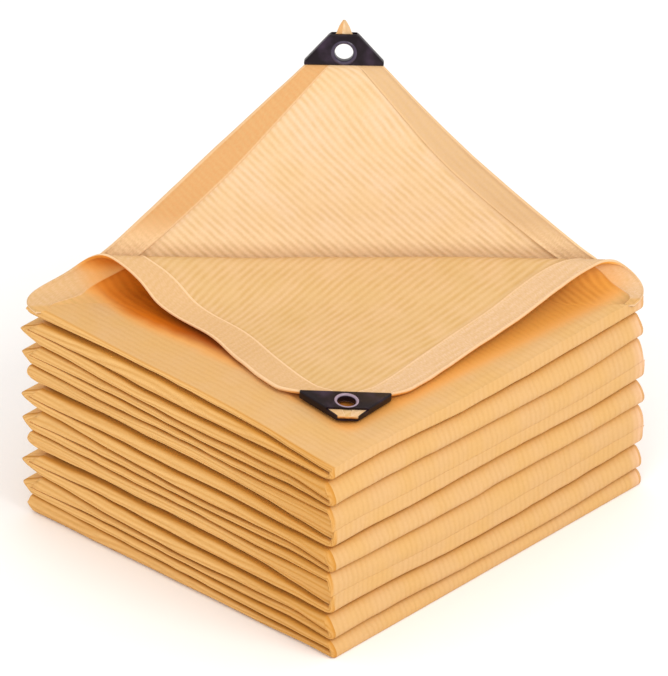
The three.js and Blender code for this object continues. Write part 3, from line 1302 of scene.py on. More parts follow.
    def masks(self, item: Column, along: float, on_top: bool) -> dict[str, float]:
        """The colour masks at a column and a row.

        Only the rolled corner's underside takes the darker inner tint and the painted shade; the raised
        corner takes painted light near its foot.

        Args:
            item: the column.
            along: the way along the cloth, in millimetres.
            on_top: whether the point lies on the upper side.

        Returns:
            The masks by name.
        """
        inside = 1.0 if on_top and self.settled else 0.0
        hem = item.hem * mix(1.0, self.inside_hem_rows.at(along), inside)
        return {
            "hem": hem,
            "welt": item.welt,
            "right": self.middle.at(item.across),
            "inside": inside,
            "painted_shade": inside * (1 - self.painted_shade_hem * hem * (1 - self.painted_shade_hem_rows.at(along))),
            "pale": 0.0 if self.settled else self.painted_light_rows.at(along),
        }

    def build(self) -> bpy.types.Object:
        """Makes the corner's mesh, with the hole round its eyelet.

        Returns:
            The corner as one closed sheet.
        """
        start = self.left[0].along
        steps = math.ceil((self.tip_length - start) / self.row_step)
        rows = [mix(start, self.tip_length, i / steps) for i in range(steps + 1)]
        columns = [self.columns_at(along) for along in rows]
        widths = [self.half_width(along) for along in rows]
        count = len(columns[0])

        def spot(column: int, row: int) -> Spot:
            """The corner's point at a column and a row of the grid.

            Args:
                column: the column, counted round the cloth.
                row: the row, counted along it.

            Returns:
                The point with its masks.
            """
            along = rows[row]
            on_top = column < count or column == 2 * count
            index = column % (2 * count)
            item = columns[row][index if index < count else 2 * count - 1 - index]
            _, out = self.axes(item.across, along)
            lift = self.uneven(item.across, along, widths[row]) + (item.thick if on_top else -item.thick)
            place = (self.surface(item.across, along) + out * lift) * MM
            side = item.across * widths[row] if self.settled else place.x / MM - self.shift
            weave = ((side + along) / math.sqrt(2) * MM, (along - side) / math.sqrt(2) * MM)
            return Spot(place, weave, **self.masks(item, along, on_top))

        piece = closed_strip(self.name, 2 * count, len(rows) - 1, spot)
        bore = cylinder(self.cloth_hole, self.hole_depth, self.hole_steps)
        bmesh.ops.transform(bore, matrix=Matrix.Scale(MM, 4) @ self.clip_matrix(), verts=bore.verts)
        cut_out(piece, bore)
        return piece

    def dress(self, piece: bpy.types.Object, knit: bpy.types.Material) -> None:
        """Gives the corner its finish."""
        settle(piece, knit, "net")


# The clips.


@dataclass
class CornerClip:
    """A moulded two-faced corner clip about the middle of its eyelet, in millimetres."""

    name: str
    node: str
    place: Matrix
    base_half: float = 38.0
    end_half: float = 13.2
    length: float = 29.0
    side: float = 3.0
    chamfer: Two = (1.5, 0.5)
    thickness: float = 7.6
    edge_round: float = 1.1
    edge_segments: int = 3
    round_from: float = 0.3
    sharp_from: float = math.radians(38)
    slot: float = 3.8
    slot_base: float = 36.0
    slot_end: float = 11.1
    slot_past: float = 4.0
    hole_from_base: float = 14.0
    hole: float = 8.0
    hole_clear: float = 1.2
    hole_depth: float = 20.0
    rim: float = 13.2
    rim_rise: float = 0.7
    bead_band: Band = Band(1.8, 0.8)
    lip: float = 0.0
    lip_cut: float = 9.0
    lip_past: float = 2.0
    lip_overlap: float = 0.1
    steps: int = 48

    def outline(self, base_half: float, end_half: float, side: float, past: float) -> list[Point]:
        """The clip's outline, or that of the space inside it, about the eyelet's middle.

        Args:
            base_half: half its width at the base.
            end_half: half its width at the end.
            side: length of the straight sides beside the base.
            past: how far it goes past the base and the end.

        Returns:
            Its corners, one way round.
        """
        base = -self.hole_from_base
        end = self.length - self.hole_from_base
        wider, narrower = self.chamfer
        right = [
            (base_half, base - past),
            (base_half, base + side),
            (end_half + wider, end - wider),
            (end_half - narrower, end + past),
        ]
        return right + [(-x, y) for x, y in reversed(right)]

    def prism(self, outline: Sequence[Point], thickness: float) -> bmesh.types.BMesh:
        """A flat face of an outline, drawn out to both sides of the clip's middle plane.

        Args:
            outline: its corners.
            thickness: its thickness.

        Returns:
            The closed shape.
        """
        bm = bmesh.new()
        verts = [bm.verts.new((x, y, -thickness / 2)) for x, y in outline]
        face = bm.faces.new(verts)
        grown = bmesh.ops.extrude_face_region(bm, geom=[face])
        raised = [v for v in grown["geom"] if isinstance(v, bmesh.types.BMVert)]
        bmesh.ops.translate(bm, verts=raised, vec=(0, 0, thickness))
        bmesh.ops.recalc_face_normals(bm, faces=bm.faces)
        return bm

    def collar(self) -> bmesh.types.BMesh:
        """The eyelet: a tube through both faces with a raised rim and a round bead on each of them.

        Returns:
            The closed shape, with its bead as an attribute.
        """
        face = self.thickness / 2
        top = face + self.rim_rise
        half = [
            (self.hole, 0.0),
            (self.hole, top - 2.6),
            (self.hole + 0.12, top - 1.7),
            (self.hole + 0.5, top - 0.9),
            (self.hole + 1.1, top - 0.3),
            (self.hole + 1.8, top),
            (self.hole + 2.4, top - 0.1),
            (self.hole + 2.8, top - 0.4),
            (self.rim - 0.7, top - 0.5),
            (self.rim - 0.4, top - 0.6),
            (self.rim - 0.1, top - 0.85),
            (self.rim, face - 0.3),
            (self.rim, face - 1.4),
            (self.hole + 2.2, face - 1.4),
            (self.hole + 2.2, 0.0),
        ]
        bm = bmesh.new()
        verts = [bm.verts.new((radius, 0, height)) for radius, height in half]
        edges = [bm.edges.new(ends) for ends in zip(verts, verts[1:])]
        bmesh.ops.spin(
            bm,
            geom=verts + edges,
            cent=(0, 0, 0),
            axis=(0, 0, 1),
            angle=math.tau,
            steps=self.steps,
            use_merge=True,
        )
        bmesh.ops.mirror(bm, geom=bm.verts[:] + bm.edges[:] + bm.faces[:], merge_dist=1e-4, axis="Z")
        bmesh.ops.remove_doubles(bm, verts=bm.verts, dist=1e-4)
        bmesh.ops.recalc_face_normals(bm, faces=bm.faces)
        bead = bm.verts.layers.float.new("bead")
        for vert in bm.verts:
            vert[bead] = self.bead_band.at(top - abs(vert.co.z))
        for item in bm.faces:
            item.smooth = True
        return bm

    def shell(self) -> bmesh.types.BMesh:
        """The clip's body as a solid with soft edges, before it is hollowed.

        Returns:
            The closed shape.
        """
        bm = self.prism(self.outline(self.base_half, self.end_half, self.side, 0), self.thickness)
        rims = [edge for edge in bm.edges if abs(edge.calc_face_angle(0)) > self.round_from]
        bmesh.ops.bevel(
            bm,
            geom=rims,
            offset=self.edge_round,
            offset_type="OFFSET",
            segments=self.edge_segments,
            profile=0.5,
            affect="EDGES",
            material=-1,
        )
        return bm

    def lip_tool(self) -> bmesh.types.BMesh:
        """What is cut from the upper face's end, so that the cloth shows there.

        Returns:
            The closed shape.
        """
        end = self.length - self.hole_from_base
        wide = self.base_half
        low, high = end - self.lip, end + self.lip_past
        tool = self.prism([(-wide, low), (wide, low), (wide, high), (-wide, high)], self.lip_cut)
        middle = self.lip_overlap - (self.lip_cut + self.slot) / 2
        bmesh.ops.translate(tool, verts=tool.verts, vec=(0, 0, middle))
        return tool

    def build(self) -> tuple[bpy.types.Object, bpy.types.Object]:
        """Makes the clip and its eyelet.

        Returns:
            The clip's body and its collar, in place and in metres.
        """
        body = object_from(self.name, self.shell())
        space = self.outline(self.slot_base, self.slot_end, 0, self.slot_past)
        cut_out(body, self.prism(space, self.slot))
        if self.lip:
            cut_out(body, self.lip_tool())
        cut_out(body, cylinder(self.hole + self.hole_clear, self.hole_depth, self.steps))
        collar = object_from(f"{self.name}_eyelet", self.collar())
        for piece in (body, collar):
            piece.data.transform(Matrix.Scale(MM, 4) @ self.place)
        for polygon in body.data.polygons:
            polygon.use_smooth = True
        body.data.set_sharp_from_angle(angle=self.sharp_from)
        return body, collar

    def dress(
        self,
        body: bpy.types.Object,
        collar: bpy.types.Object,
        plastic: bpy.types.Material,
        eyelet: bpy.types.Material,
    ) -> None:
        """Gives the clip's two pieces their finishes."""
        settle(body, plastic, self.node)
        settle(collar, eyelet, self.node)


# Materials.


def linear(red: float, green: float, blue: float) -> Four:
    """A screen colour, 0 to 255 a channel, as a linear one.

    Args:
        red: its red.
        green: its green.
        blue: its blue.

    Returns:
        The linear colour, fully opaque.
    """
    made = []
    for value in (red, green, blue):
        share = value / 255
        made.append(share / 12.92 if share <= 0.04045 else ((share + 0.055) / 1.055) ** 2.4)
    return made[0], made[1], made[2], 1.0


@dataclass
class NodeMaker:
    """Adds nodes to a tree with less writing."""

    tree: bpy.types.NodeTree

    def add(self, kind: str, **settings: object) -> bpy.types.Node:
        """A new node with some of its settings.

        Args:
            kind: the node's type.
            settings: the settings by name.

        Returns:
            The node.
        """
        node = self.tree.nodes.new(kind)
        for name, value in settings.items():
            setattr(node, name, value)
        return node

    def link(self, source: bpy.types.NodeSocket, target: bpy.types.NodeSocket) -> None:
        """Joins two sockets."""
        self.tree.links.new(source, target)

    def put(self, socket: bpy.types.NodeSocket, value: object) -> None:
        """Sets a socket to a number or a colour, or links another socket to it.

        Args:
            socket: the socket.
            value: the number, the colour or the other socket.
        """
        if isinstance(value, bpy.types.NodeSocket):
            self.link(value, socket)
        else:
            socket.default_value = value

    def fill(self, node: bpy.types.Node, values: dict[str, object]) -> None:
        """Puts values into a node's inputs by name."""
        for label, value in values.items():
            self.put(node.inputs[label], value)

    def maths(self, operation: str, *values: object) -> bpy.types.NodeSocket:
        """A Math node.

        Args:
            operation: what it does.
            values: its inputs, each a socket or a number.

        Returns:
            Its output.
        """
        node = self.add("ShaderNodeMath", operation=operation)
        for socket, value in zip(node.inputs, values):
            self.put(socket, value)
        return node.outputs[0]

    def times(self, first: object, second: object) -> bpy.types.NodeSocket:
        """Two values multiplied."""
        return self.maths("MULTIPLY", first, second)

    def blend(self, share: object, first: object, second: object) -> bpy.types.NodeSocket:
        """A colour mix of two sockets or colours.

        Args:
            share: the second one's share.
            first: the first socket or colour.
            second: the second one.

        Returns:
            Its colour output.
        """
        node = self.add("ShaderNodeMix", data_type="RGBA")
        self.fill(node, {"Factor": share, "A": first, "B": second})
        return next(out for out in node.outputs if out.type == "RGBA")

    def spread(self, value: object, span: Range, to: Range = (0.0, 1.0)) -> bpy.types.NodeSocket:
        """A smooth Map Range from a span of the value to another one.

        Args:
            value: the value.
            span: the span that it is read over.
            to: what the ends of the span turn into.

        Returns:
            Its output.
        """
        node = self.add("ShaderNodeMapRange", interpolation_type="SMOOTHSTEP")
        for socket, item in zip(node.inputs, (value, *span, *to)):
            self.put(socket, item)
        return node.outputs["Result"]

    def cloud(self, vector: bpy.types.NodeSocket, scale: float, detail: float = 2.0) -> bpy.types.NodeSocket:
        """A Noise Texture's value.

        Args:
            vector: where it is read.
            scale: its scale.
            detail: its detail.

        Returns:
            Its output.
        """
        node = self.add("ShaderNodeTexNoise")
        self.fill(node, {"Vector": vector, "Scale": scale, "Detail": detail})
        return next(out for out in node.outputs if out.type == "VALUE")

    def axes(self, vector: bpy.types.NodeSocket) -> tuple[bpy.types.NodeSocket, bpy.types.NodeSocket]:
        """A vector's first two numbers.

        Args:
            vector: the vector.

        Returns:
            The two outputs.
        """
        node = self.add("ShaderNodeSeparateXYZ")
        self.link(vector, node.inputs[0])
        return node.outputs[0], node.outputs[1]

    def mask(self, label: str) -> bpy.types.NodeSocket:
        """A mask that the mesh holds for each of its points."""
        node = self.add("ShaderNodeAttribute", attribute_name=label, attribute_type="GEOMETRY")
        return node.outputs["Fac"]

    def object_place(self) -> bpy.types.NodeSocket:
        """The place on the object, in metres."""
        return self.add("ShaderNodeTexCoord").outputs["Object"]

    def group(self, tree: bpy.types.NodeTree, values: dict[str, object]) -> bpy.types.bpy_prop_collection:
        """A group's outputs, with values in its inputs.

        Args:
            tree: the group.
            values: the values by input.

        Returns:
            The outputs by name.
        """
        node = self.add("ShaderNodeGroup", node_tree=tree)
        self.fill(node, values)
        return node.outputs

    def bump(self, height: bpy.types.NodeSocket, strength: float, distance: float) -> bpy.types.NodeSocket:
        """A Bump node's normal.

        Args:
            height: the height.
            strength: its strength.
            distance: how high the height counts, in metres.

        Returns:
            Its output.
        """
        node = self.add("ShaderNodeBump")
        self.fill(node, {"Strength": strength, "Distance": distance, "Height": height})
        return node.outputs[0]


@dataclass
class ShaderGroup:
    """A shader group that reads a vector and puts out numbers, while it is built."""

    name: str
    outputs: Sequence[str]
    numbers: dict[str, float] = field(default_factory=dict)

    def __post_init__(self) -> None:
        """Makes the group's sockets and its two ends."""
        self.tree = bpy.data.node_groups.new(self.name, "ShaderNodeTree")
        face = self.tree.interface
        face.new_socket(name="Vector", in_out="INPUT", socket_type="NodeSocketVector")
        for label, default in self.numbers.items():
            socket = face.new_socket(name=label, in_out="INPUT", socket_type="NodeSocketFloat")
            socket.default_value = default
        for label in self.outputs:
            face.new_socket(name=label, in_out="OUTPUT", socket_type="NodeSocketFloat")
        self.make = NodeMaker(self.tree)
        self.given = self.make.add("NodeGroupInput").outputs
        self.result = self.make.add("NodeGroupOutput")

    def close(self, **values: bpy.types.NodeSocket) -> bpy.types.NodeTree:
        """Links the values to the outputs of those names, and gives the finished group."""
        self.make.fill(self.result, values)
        return self.tree


@dataclass(frozen=True)
class Knit:
    """The knit of the net.

    Soft raised wales have darker lines between them that waver and fade a little, and each wale has uneven
    small stitches. The vector counts in metres, its first axis across the wales.
    """

    pitch: float = 0.0061
    sharpness: float = 1.0
    waver: float = 0.3
    slow_scale: float = 26.0
    quick_scale: float = 140.0
    quick_share: float = 0.6
    wear_scale: float = 60.0
    wear: Range = (0.32, 0.68)
    worn_least: float = 0.5
    stitch_density: Three = (330.0, 760.0, 1.0)
    middling: Range = (0.3, 0.7)
    stitch_height: float = 0.3

    def make(self) -> bpy.types.NodeTree:
        """Builds the group.

        Returns:
            The finished group.
        """
        group = ShaderGroup(
            "knit",
            ("Groove", "Stitches", "Mottle", "Height"),
            {"Pitch": self.pitch, "Sharpness": self.sharpness, "Waver": self.waver},
        )
        make, given = group.make, group.given
        vector = given["Vector"]
        across, _ = make.axes(vector)
        slow = make.maths("SUBTRACT", make.cloud(vector, self.slow_scale), 0.5)
        quick = make.maths("SUBTRACT", make.cloud(vector, self.quick_scale, 1.0), 0.5)
        drift = make.times(make.maths("ADD", slow, make.times(quick, self.quick_share)), given["Waver"])
        phase = make.maths("ADD", make.maths("DIVIDE", across, given["Pitch"]), drift)
        turned = make.maths("COSINE", make.times(phase, math.tau))
        wave = make.maths("SUBTRACT", 0.5, make.times(turned, 0.5))
        line = make.maths("POWER", wave, given["Sharpness"])
        worn = make.spread(make.cloud(vector, self.wear_scale, 3.0), self.wear, (self.worn_least, 1.0))
        groove = make.times(line, worn)
        stretched = make.add("ShaderNodeVectorMath", operation="MULTIPLY")
        make.link(vector, stretched.inputs[0])
        stretched.inputs[1].default_value = self.stitch_density
        stitches = make.spread(make.cloud(stretched.outputs[0], 1.0, 1.0), self.middling)
        mottle = make.spread(make.cloud(vector, self.slow_scale, 3.0), self.middling)
        body = make.maths("SUBTRACT", 1.0, groove)
        height = make.maths("ADD", body, make.times(stitches, self.stitch_height))
        return group.close(Groove=groove, Stitches=stitches, Mottle=mottle, Height=height)


@dataclass(frozen=True)
class PaintedShade:
    """Where painted shade goes: a warm dark colour painted on the cloth under the corner that is rolled
    forward.

    Its sizes and its vector, the object's own place, are in metres. The painted shade starts where x + y
    passes a value that itself grows with x.
    """

    wobble_scale: float = 24.0
    wobble: float = 0.022
    line_x: Range = (-0.18, -0.09)
    line: Range = (-0.226, -0.206)
    rise: Range = (-0.014, 0.026)
    right_end: Range = (0.198, 0.242)
    back_end: Range = (0.032, 0.055)
    inward: Range = (-0.225, -0.15)
    deep: Range = (-0.165, -0.115)
    rightward: Range = (-0.06, 0.08)

    def make(self) -> bpy.types.NodeTree:
        """Builds the group.

        Returns:
            The finished group.
        """
        group = ShaderGroup("painted_shade", ("Shade", "Inward", "Deep", "Rightward"))
        make = group.make
        vector = group.given["Vector"]
        x, y = make.axes(vector)
        wobble = make.times(make.maths("SUBTRACT", make.cloud(vector, self.wobble_scale), 0.5), self.wobble)
        start = make.spread(x, self.line_x, self.line)
        past = make.maths("SUBTRACT", make.maths("ADD", make.maths("ADD", x, y), wobble), start)
        left = make.spread(past, self.rise)
        right = make.spread(make.maths("SUBTRACT", x, y), self.right_end, (1.0, 0.0))
        ahead = make.spread(y, self.back_end, (1.0, 0.0))
        return group.close(
            Shade=make.times(make.times(left, right), ahead),
            Inward=make.spread(x, self.inward),
            Deep=make.spread(x, self.deep),
            Rightward=make.spread(x, self.rightward),
        )


@dataclass(frozen=True)
class MouldedSkin:
    """Fine moulding texture and faint lighter patches of the plastic, partly handling marks and partly
    painted sheen.
    """

    mark_scale: float = 42.0
    marks: Range = (0.46, 0.74)
    grain_scale: float = 1500.0

    def make(self) -> bpy.types.NodeTree:
        """Builds the group.

        Returns:
            The finished group.
        """
        group = ShaderGroup("moulded_skin", ("Marks", "Height"))
        vector = group.given["Vector"]
        marks = group.make.spread(group.make.cloud(vector, self.mark_scale, 3.0), self.marks)
        return group.close(Marks=marks, Height=group.make.cloud(vector, self.grain_scale))


@dataclass
class Surface:
    """A material of one Principled shader, while it is built."""

    name: str

    def __post_init__(self) -> None:
        """Makes the material with its shader."""
        self.material = bpy.data.materials.new(self.name)
        self.material.use_nodes = True
        tree = self.material.node_tree
        tree.nodes.clear()
        self.make = NodeMaker(tree)
        self.shader = self.make.add("ShaderNodeBsdfPrincipled")
        output = self.make.add("ShaderNodeOutputMaterial")
        self.make.link(self.shader.outputs[0], output.inputs["Surface"])


@dataclass(frozen=True)
class KnitFinish:
    """The net's colours on one piece, painted light and shade among them."""

    name: str
    wale: Colour
    open_line: Colour
    cloudy: Colour
    # The left hem painted darker and the right one lighter: painted shade and light on one hem colour.
    shaded_hem_left: Colour = (214, 175, 132)
    lit_hem_right: Colour = (217, 182, 146)
    welt: Colour = (232, 195, 152)
    # A tint painted for how light falls: lighter and warmer on the stack's left side and fold tips, darker
    # on the rolled corner's underside.
    inner: Colour = (214, 167, 108)
    # Painted shade in the stack's crevices and fold mouths.
    gap: Colour = (192, 132, 54)
    # Colours of the painted shade under the rolled corner, from its light rim to its darkest core.
    painted_shade_edge: Colour = (222, 158, 86)
    painted_shade_left: Colour = (206, 126, 46)
    painted_shade_middle: Colour = (202, 104, 8)
    painted_shade_deep: Colour = (154, 68, 2)
    painted_shade_right: Colour = (218, 150, 66)
    # Painted highlight: at the stack's band ends on the front right, and near the raised corner's foot.
    pale: Colour = (224, 182, 146)
    pitch: float = 0.0061
    sharpness: float = 1.0
    waver: float = 0.3
    contrast: float = 0.8
    hem_contrast: float = 0.25
    stitch: float = 0.1
    hem_stitch: float = 0.4
    hem_edge: Range = (0.3, 0.8)
    welt_edge: Range = (0.2, 0.9)
    welt_shares: Range = (0.9, 0.45)
    welt_inside: float = 0.9
    painted_shade_lines: float = 0.4
    painted_shade_rise: Range = (0.0, 0.6)
    painted_shade_full: Range = (0.35, 1.0)
    bump: float = 0.3
    bump_distance: float = 0.0006
    roughness: float = 0.82
    specular: float = 0.05
    sheen: float = 0.02
    sheen_roughness: float = 0.6

    def make(self, knit: bpy.types.NodeTree, painted_shade_group: bpy.types.NodeTree) -> bpy.types.Material:
        """Builds the material.

        Args:
            knit: the group of the net's knit.
            painted_shade_group: the group that places the painted shade under the rolled corner.

        Returns:
            The finished material.
        """
        surface = Surface(self.name)
        make = surface.make
        weave = make.add("ShaderNodeUVMap", uv_map="weave").outputs[0]
        pattern = make.group(
            knit, {"Vector": weave, "Pitch": self.pitch, "Sharpness": self.sharpness, "Waver": self.waver}
        )
        under = make.group(painted_shade_group, {"Vector": make.object_place()})
        hem, welt, right, inside, gap, painted_shade, pale = (make.mask(label) for label in MASKS)
        on_hem = make.spread(hem, self.hem_edge)
        outside = make.maths("SUBTRACT", 1.0, make.times(inside, self.welt_inside))
        outside = make.times(outside, make.spread(right, (0.0, 1.0), self.welt_shares))
        on_welt = make.times(make.spread(welt, self.welt_edge), outside)
        contrast = make.spread(on_hem, (0.0, 1.0), (self.contrast, self.hem_contrast))
        lines = make.times(pattern["Groove"], contrast)
        grain = make.spread(on_hem, (0.0, 1.0), (self.stitch, self.hem_stitch))
        panel = make.blend(pattern["Mottle"], linear(*self.wale), linear(*self.cloudy))
        panel = make.blend(inside, panel, linear(*self.inner))
        hems = make.blend(right, linear(*self.shaded_hem_left), linear(*self.lit_hem_right))
        cloth = make.blend(on_hem, panel, hems)
        # pale is a painted highlight and gap a painted shade; the lines and stitches are the knit's own.
        for share, colour in (
            (pale, self.pale),
            (lines, self.open_line),
            (make.times(pattern["Stitches"], grain), self.open_line),
            (on_welt, self.welt),
            (gap, self.gap),
        ):
            cloth = make.blend(share, cloth, linear(*colour))
        warm = linear(*self.painted_shade_left)
        for share, colour in (
            (under["Inward"], self.painted_shade_middle),
            (under["Deep"], self.painted_shade_deep),
            (under["Rightward"], self.painted_shade_right),
            (make.times(lines, self.painted_shade_lines), self.painted_shade_deep),
        ):
            warm = make.blend(share, warm, linear(*colour))
        # Painted shade under the rolled corner: a light rim first, then the warm dark colour.
        depth = make.times(painted_shade, under["Shade"])
        cloth = make.blend(make.spread(depth, self.painted_shade_rise), cloth, linear(*self.painted_shade_edge))
        cloth = make.blend(make.spread(depth, self.painted_shade_full), cloth, warm)
        make.fill(
            surface.shader,
            {
                "Base Color": cloth,
                "Roughness": self.roughness,
                "Specular IOR Level": self.specular,
                "Sheen Weight": self.sheen,
                "Sheen Roughness": self.sheen_roughness,
                "Normal": make.bump(pattern["Height"], self.bump, self.bump_distance),
            },
        )
        return surface.material


@dataclass(frozen=True)
class PlasticFinish:
    """The clips' near-black glossy plastic, with a lighter bead round an eyelet that is a painted highlight.
    """

    name: str
    colour: Colour
    marks: Colour
    roughness: float
    coat: float
    bead: Colour = (20, 8, 15)
    mark_roughness: float = 0.1
    coat_roughness: float = 0.18
    specular: float = 0.17
    bump: float = 0.12
    bump_distance: float = 0.0002

    def make(self, skin: bpy.types.NodeTree) -> bpy.types.Material:
        """Builds the material.

        Args:
            skin: the group of moulded plastic.

        Returns:
            The finished material.
        """
        surface = Surface(self.name)
        make = surface.make
        pattern = make.group(skin, {"Vector": make.object_place()})
        # Lighter patches: partly handling marks, partly a painted sheen; the bead's colour is a painted
        # highlight.
        colour = make.blend(pattern["Marks"], linear(*self.colour), linear(*self.marks))
        colour = make.blend(make.mask("bead"), colour, linear(*self.bead))
        rough = (self.roughness, self.roughness + self.mark_roughness)
        make.fill(
            surface.shader,
            {
                "Base Color": colour,
                "Roughness": make.spread(pattern["Marks"], (0.0, 1.0), rough),
                "Specular IOR Level": self.specular,
                "Coat Weight": self.coat,
                "Coat Roughness": self.coat_roughness,
                "Normal": make.bump(pattern["Height"], self.bump, self.bump_distance),
            },
        )
        return surface.material


# One net in three base colours, lighter on the raised corner and darker on the stack: painted light and
# shade for how light falls on each piece.
STACK_KNIT = KnitFinish(
    name="net_stack_knit",
    wale=(212, 170, 118),
    open_line=(194, 146, 84),
    cloudy=(212, 168, 108),
    inner=(228, 180, 114),
    sharpness=1.6,
    waver=0.9,
    contrast=0.28,
)
ROLLED_KNIT = KnitFinish(
    name="net_rolled_knit",
    wale=(216, 179, 134),
    open_line=(198, 157, 96),
    cloudy=(211, 175, 124),
    contrast=0.74,
    hem_contrast=0.3,
    stitch=0.16,
)
RAISED_KNIT = KnitFinish(
    name="net_raised_knit",
    wale=(228, 198, 164),
    open_line=(209, 172, 119),
    cloudy=(226, 194, 152),
    shaded_hem_left=(209, 156, 102),
    lit_hem_right=(209, 175, 136),
    welt=(222, 184, 140),
    # Painted light near the raised corner's foot, against the roll's shade.
    pale=(245, 212, 169),
    contrast=0.64,
    hem_contrast=0.28,
    stitch=0.16,
)
CLIP_PLASTIC = PlasticFinish(
    name="clip_plastic",
    colour=(20, 8, 15),
    marks=(54, 40, 56),
    roughness=0.3,
    coat=0.03,
)
# The eyelet beads' lighter colour is a painted highlight, bright on the front clip and faint on the top one.
HIGHLIT_EYELET = PlasticFinish(
    name="clip_eyelet_painted_highlight_plastic",
    colour=(26, 14, 20),
    marks=(54, 40, 56),
    roughness=0.22,
    coat=0.2,
    bead=(152, 132, 146),
)
DARK_EYELET = PlasticFinish(
    name="clip_dark_eyelet_plastic",
    colour=(26, 16, 22),
    marks=(54, 40, 56),
    roughness=0.22,
    coat=0.3,
    bead=(62, 52, 70),
)


# The studio.


class Lamp(NamedTuple):
    """A square soft light: its name, where it stands and its side in metres, and its power in watts."""

    name: str
    place: Three
    size: float
    power: float


@dataclass
class Studio:
    """The pale floor, the soft lights and the camera at the photograph's angle."""

    elevation: float = math.radians(30.6)
    pixel: float = 0.875
    image_height: int = 676
    lens: float = 800.0
    sensor: float = 36.0
    clip_range: Range = (0.5, 100.0)
    aim: Three = (-1.3, 0.0, 162.7)
    lamps: tuple[Lamp, ...] = (
        Lamp("key", (1.7, -1.6, 2.4), 1.4, 34.0),
        Lamp("fill", (-0.7, -2.6, 1.9), 1.6, 20.0),
    )
    lamp_aim: Three = (0, 0, 0.15)
    lamp_colour: Colour = (1.0, 0.98, 0.95)
    sky: Four = (1.0, 0.99, 0.98, 1.0)
    sky_strength: float = 0.98
    floor_colour: Colour = (250, 249, 248)
    floor_size: float = 14.0
    floor_drop: float = 0.0005
    floor_roughness: float = 0.9
    floor_specular: float = 0.1

    def camera(self) -> None:
        """A long lens, so that parallel edges stay parallel as in the photograph."""
        data = bpy.data.cameras.new("camera")
        data.lens = self.lens
        data.sensor_width = self.sensor
        data.clip_start, data.clip_end = self.clip_range
        view = bpy.data.objects.new("camera", data)
        bpy.context.scene.collection.objects.link(view)
        seen = self.pixel * self.image_height * MM
        distance = seen * self.lens / self.sensor
        back = Vector((0, -math.cos(self.elevation), math.sin(self.elevation)))
        view.location = Vector(self.aim) * MM + back * distance
        view.rotation_euler = (math.pi / 2 - self.elevation, 0, 0)
        bpy.context.scene.camera = view

    def light(self, lamp: Lamp) -> None:
        """A square soft light that faces the net.

        Args:
            lamp: what it is like and where it stands.
        """
        data = bpy.data.lights.new(lamp.name, "AREA")
        data.shape = "SQUARE"
        data.size = lamp.size
        data.energy = lamp.power
        data.color = self.lamp_colour
        piece = bpy.data.objects.new(lamp.name, data)
        bpy.context.scene.collection.objects.link(piece)
        place = Vector(lamp.place)
        piece.location = place
        piece.rotation_euler = (place - Vector(self.lamp_aim)).to_track_quat("Z", "Y").to_euler()

    def floor(self) -> None:
        """A wide plain floor just under the net."""
        bm = bmesh.new()
        bmesh.ops.create_grid(bm, x_segments=4, y_segments=4, size=self.floor_size)
        bmesh.ops.translate(bm, verts=bm.verts, vec=(0, 0, -self.floor_drop))
        piece = object_from("floor", bm)
        surface = Surface("floor_pale")
        surface.make.fill(
            surface.shader,
            {
                "Base Color": linear(*self.floor_colour),
                "Roughness": self.floor_roughness,
                "Specular IOR Level": self.floor_specular,
            },
        )
        piece.data.materials.append(surface.material)

    def world(self) -> None:
        """An even pale sky."""
        world = bpy.data.worlds.new("studio")
        world.use_nodes = True
        background = world.node_tree.nodes["Background"]
        background.inputs["Color"].default_value = self.sky
        background.inputs["Strength"].default_value = self.sky_strength
        bpy.context.scene.world = world

    def build(self) -> None:
        """Sets up everything round the net."""
        bpy.context.scene.view_settings.view_transform = "Standard"
        self.camera()
        self.world()
        self.floor()
        for lamp in self.lamps:
            self.light(lamp)


# The whole scene.


def rolled_corner(stack: FoldedStack) -> LooseCorner:
    """The corner that is rolled forward over the stack.

    Args:
        stack: the stack that it lies on.

    Returns:
        The corner.
    """
    return LooseCorner(
        name="net_corner_rolled",
        left=ROLL_LEFT,
        right=ROLL_RIGHT,
        tip=ROLL_TIP,
        tip_slope=(-1, 0.005),
        settled=True,
        stack=stack,
        inner_hems=(1.35, 0.8),
        tip_length=265.0,
        tip_turn=math.radians(3.5),
    )


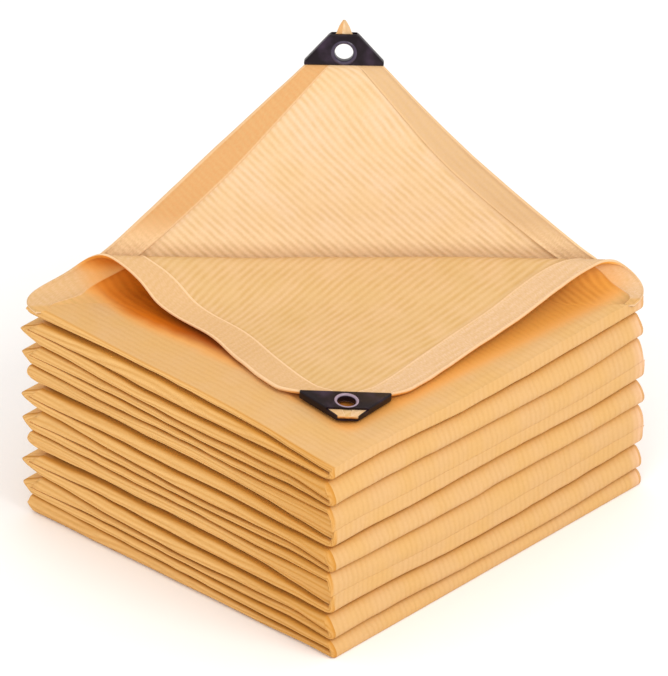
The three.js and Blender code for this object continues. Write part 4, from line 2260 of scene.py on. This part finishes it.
def raised_corner(stack: FoldedStack) -> LooseCorner:
    """The corner that stands up behind.

    Args:
        stack: the stack that it stands on.

    Returns:
        The corner.
    """
    return LooseCorner(
        name="net_corner_raised",
        left=RAISED_LEFT,
        right=RAISED_RIGHT,
        tip=RAISED_TIP,
        tip_slope=(0.131, 0.991),
        settled=False,
        stack=stack,
        hole_from_base=12.0,
        shift=7.4,
        hem_taper=0.62,
    )


def front_clip(corner: LooseCorner) -> CornerClip:
    """The clip on the rolled corner, whose cloth shows past its shorter upper face.

    Args:
        corner: the rolled corner.

    Returns:
        The clip.
    """
    return CornerClip(
        name="clip_front",
        node="corner_clip_front",
        place=corner.clip_matrix(),
        base_half=40.0,
        end_half=9.2,
        length=35.0,
        slot_base=37.6,
        slot_end=8.0,
        rim=10.6,
        rim_rise=0.4,
        lip=10.0,
    )


def top_clip(corner: LooseCorner) -> CornerClip:
    """The clip on the raised corner.

    Args:
        corner: the raised corner.

    Returns:
        The clip.
    """
    return CornerClip(
        name="clip_top",
        node="corner_clip_top",
        place=corner.clip_matrix(),
        base_half=34.8,
        end_half=11.6,
        slot_base=34.0,
        slot_end=10.2,
        hole_from_base=12.0,
        rim=11.6,
    )


def main() -> None:
    """Builds the scene piece by piece."""
    logging.basicConfig(level=logging.INFO, format="%(name)s %(message)s")
    Studio().build()
    knit = Knit().make()
    painted_shade_group = PaintedShade().make()
    skin = MouldedSkin().make()

    stack = FoldedStack()
    stack_piece = stack.build()
    stack.dress(stack_piece, STACK_KNIT.make(knit, painted_shade_group))

    rolled = rolled_corner(stack)
    rolled_piece = rolled.build()
    rolled.dress(rolled_piece, ROLLED_KNIT.make(knit, painted_shade_group))

    raised = raised_corner(stack)
    raised_piece = raised.build()
    raised.dress(raised_piece, RAISED_KNIT.make(knit, painted_shade_group))

    plastic = CLIP_PLASTIC.make(skin)
    for clip, eyelet in ((front_clip(rolled), HIGHLIT_EYELET), (top_clip(raised), DARK_EYELET)):
        body, collar = clip.build()
        clip.dress(body, collar, plastic, eyelet.make(skin))


if __name__ == "__main__":
    main()
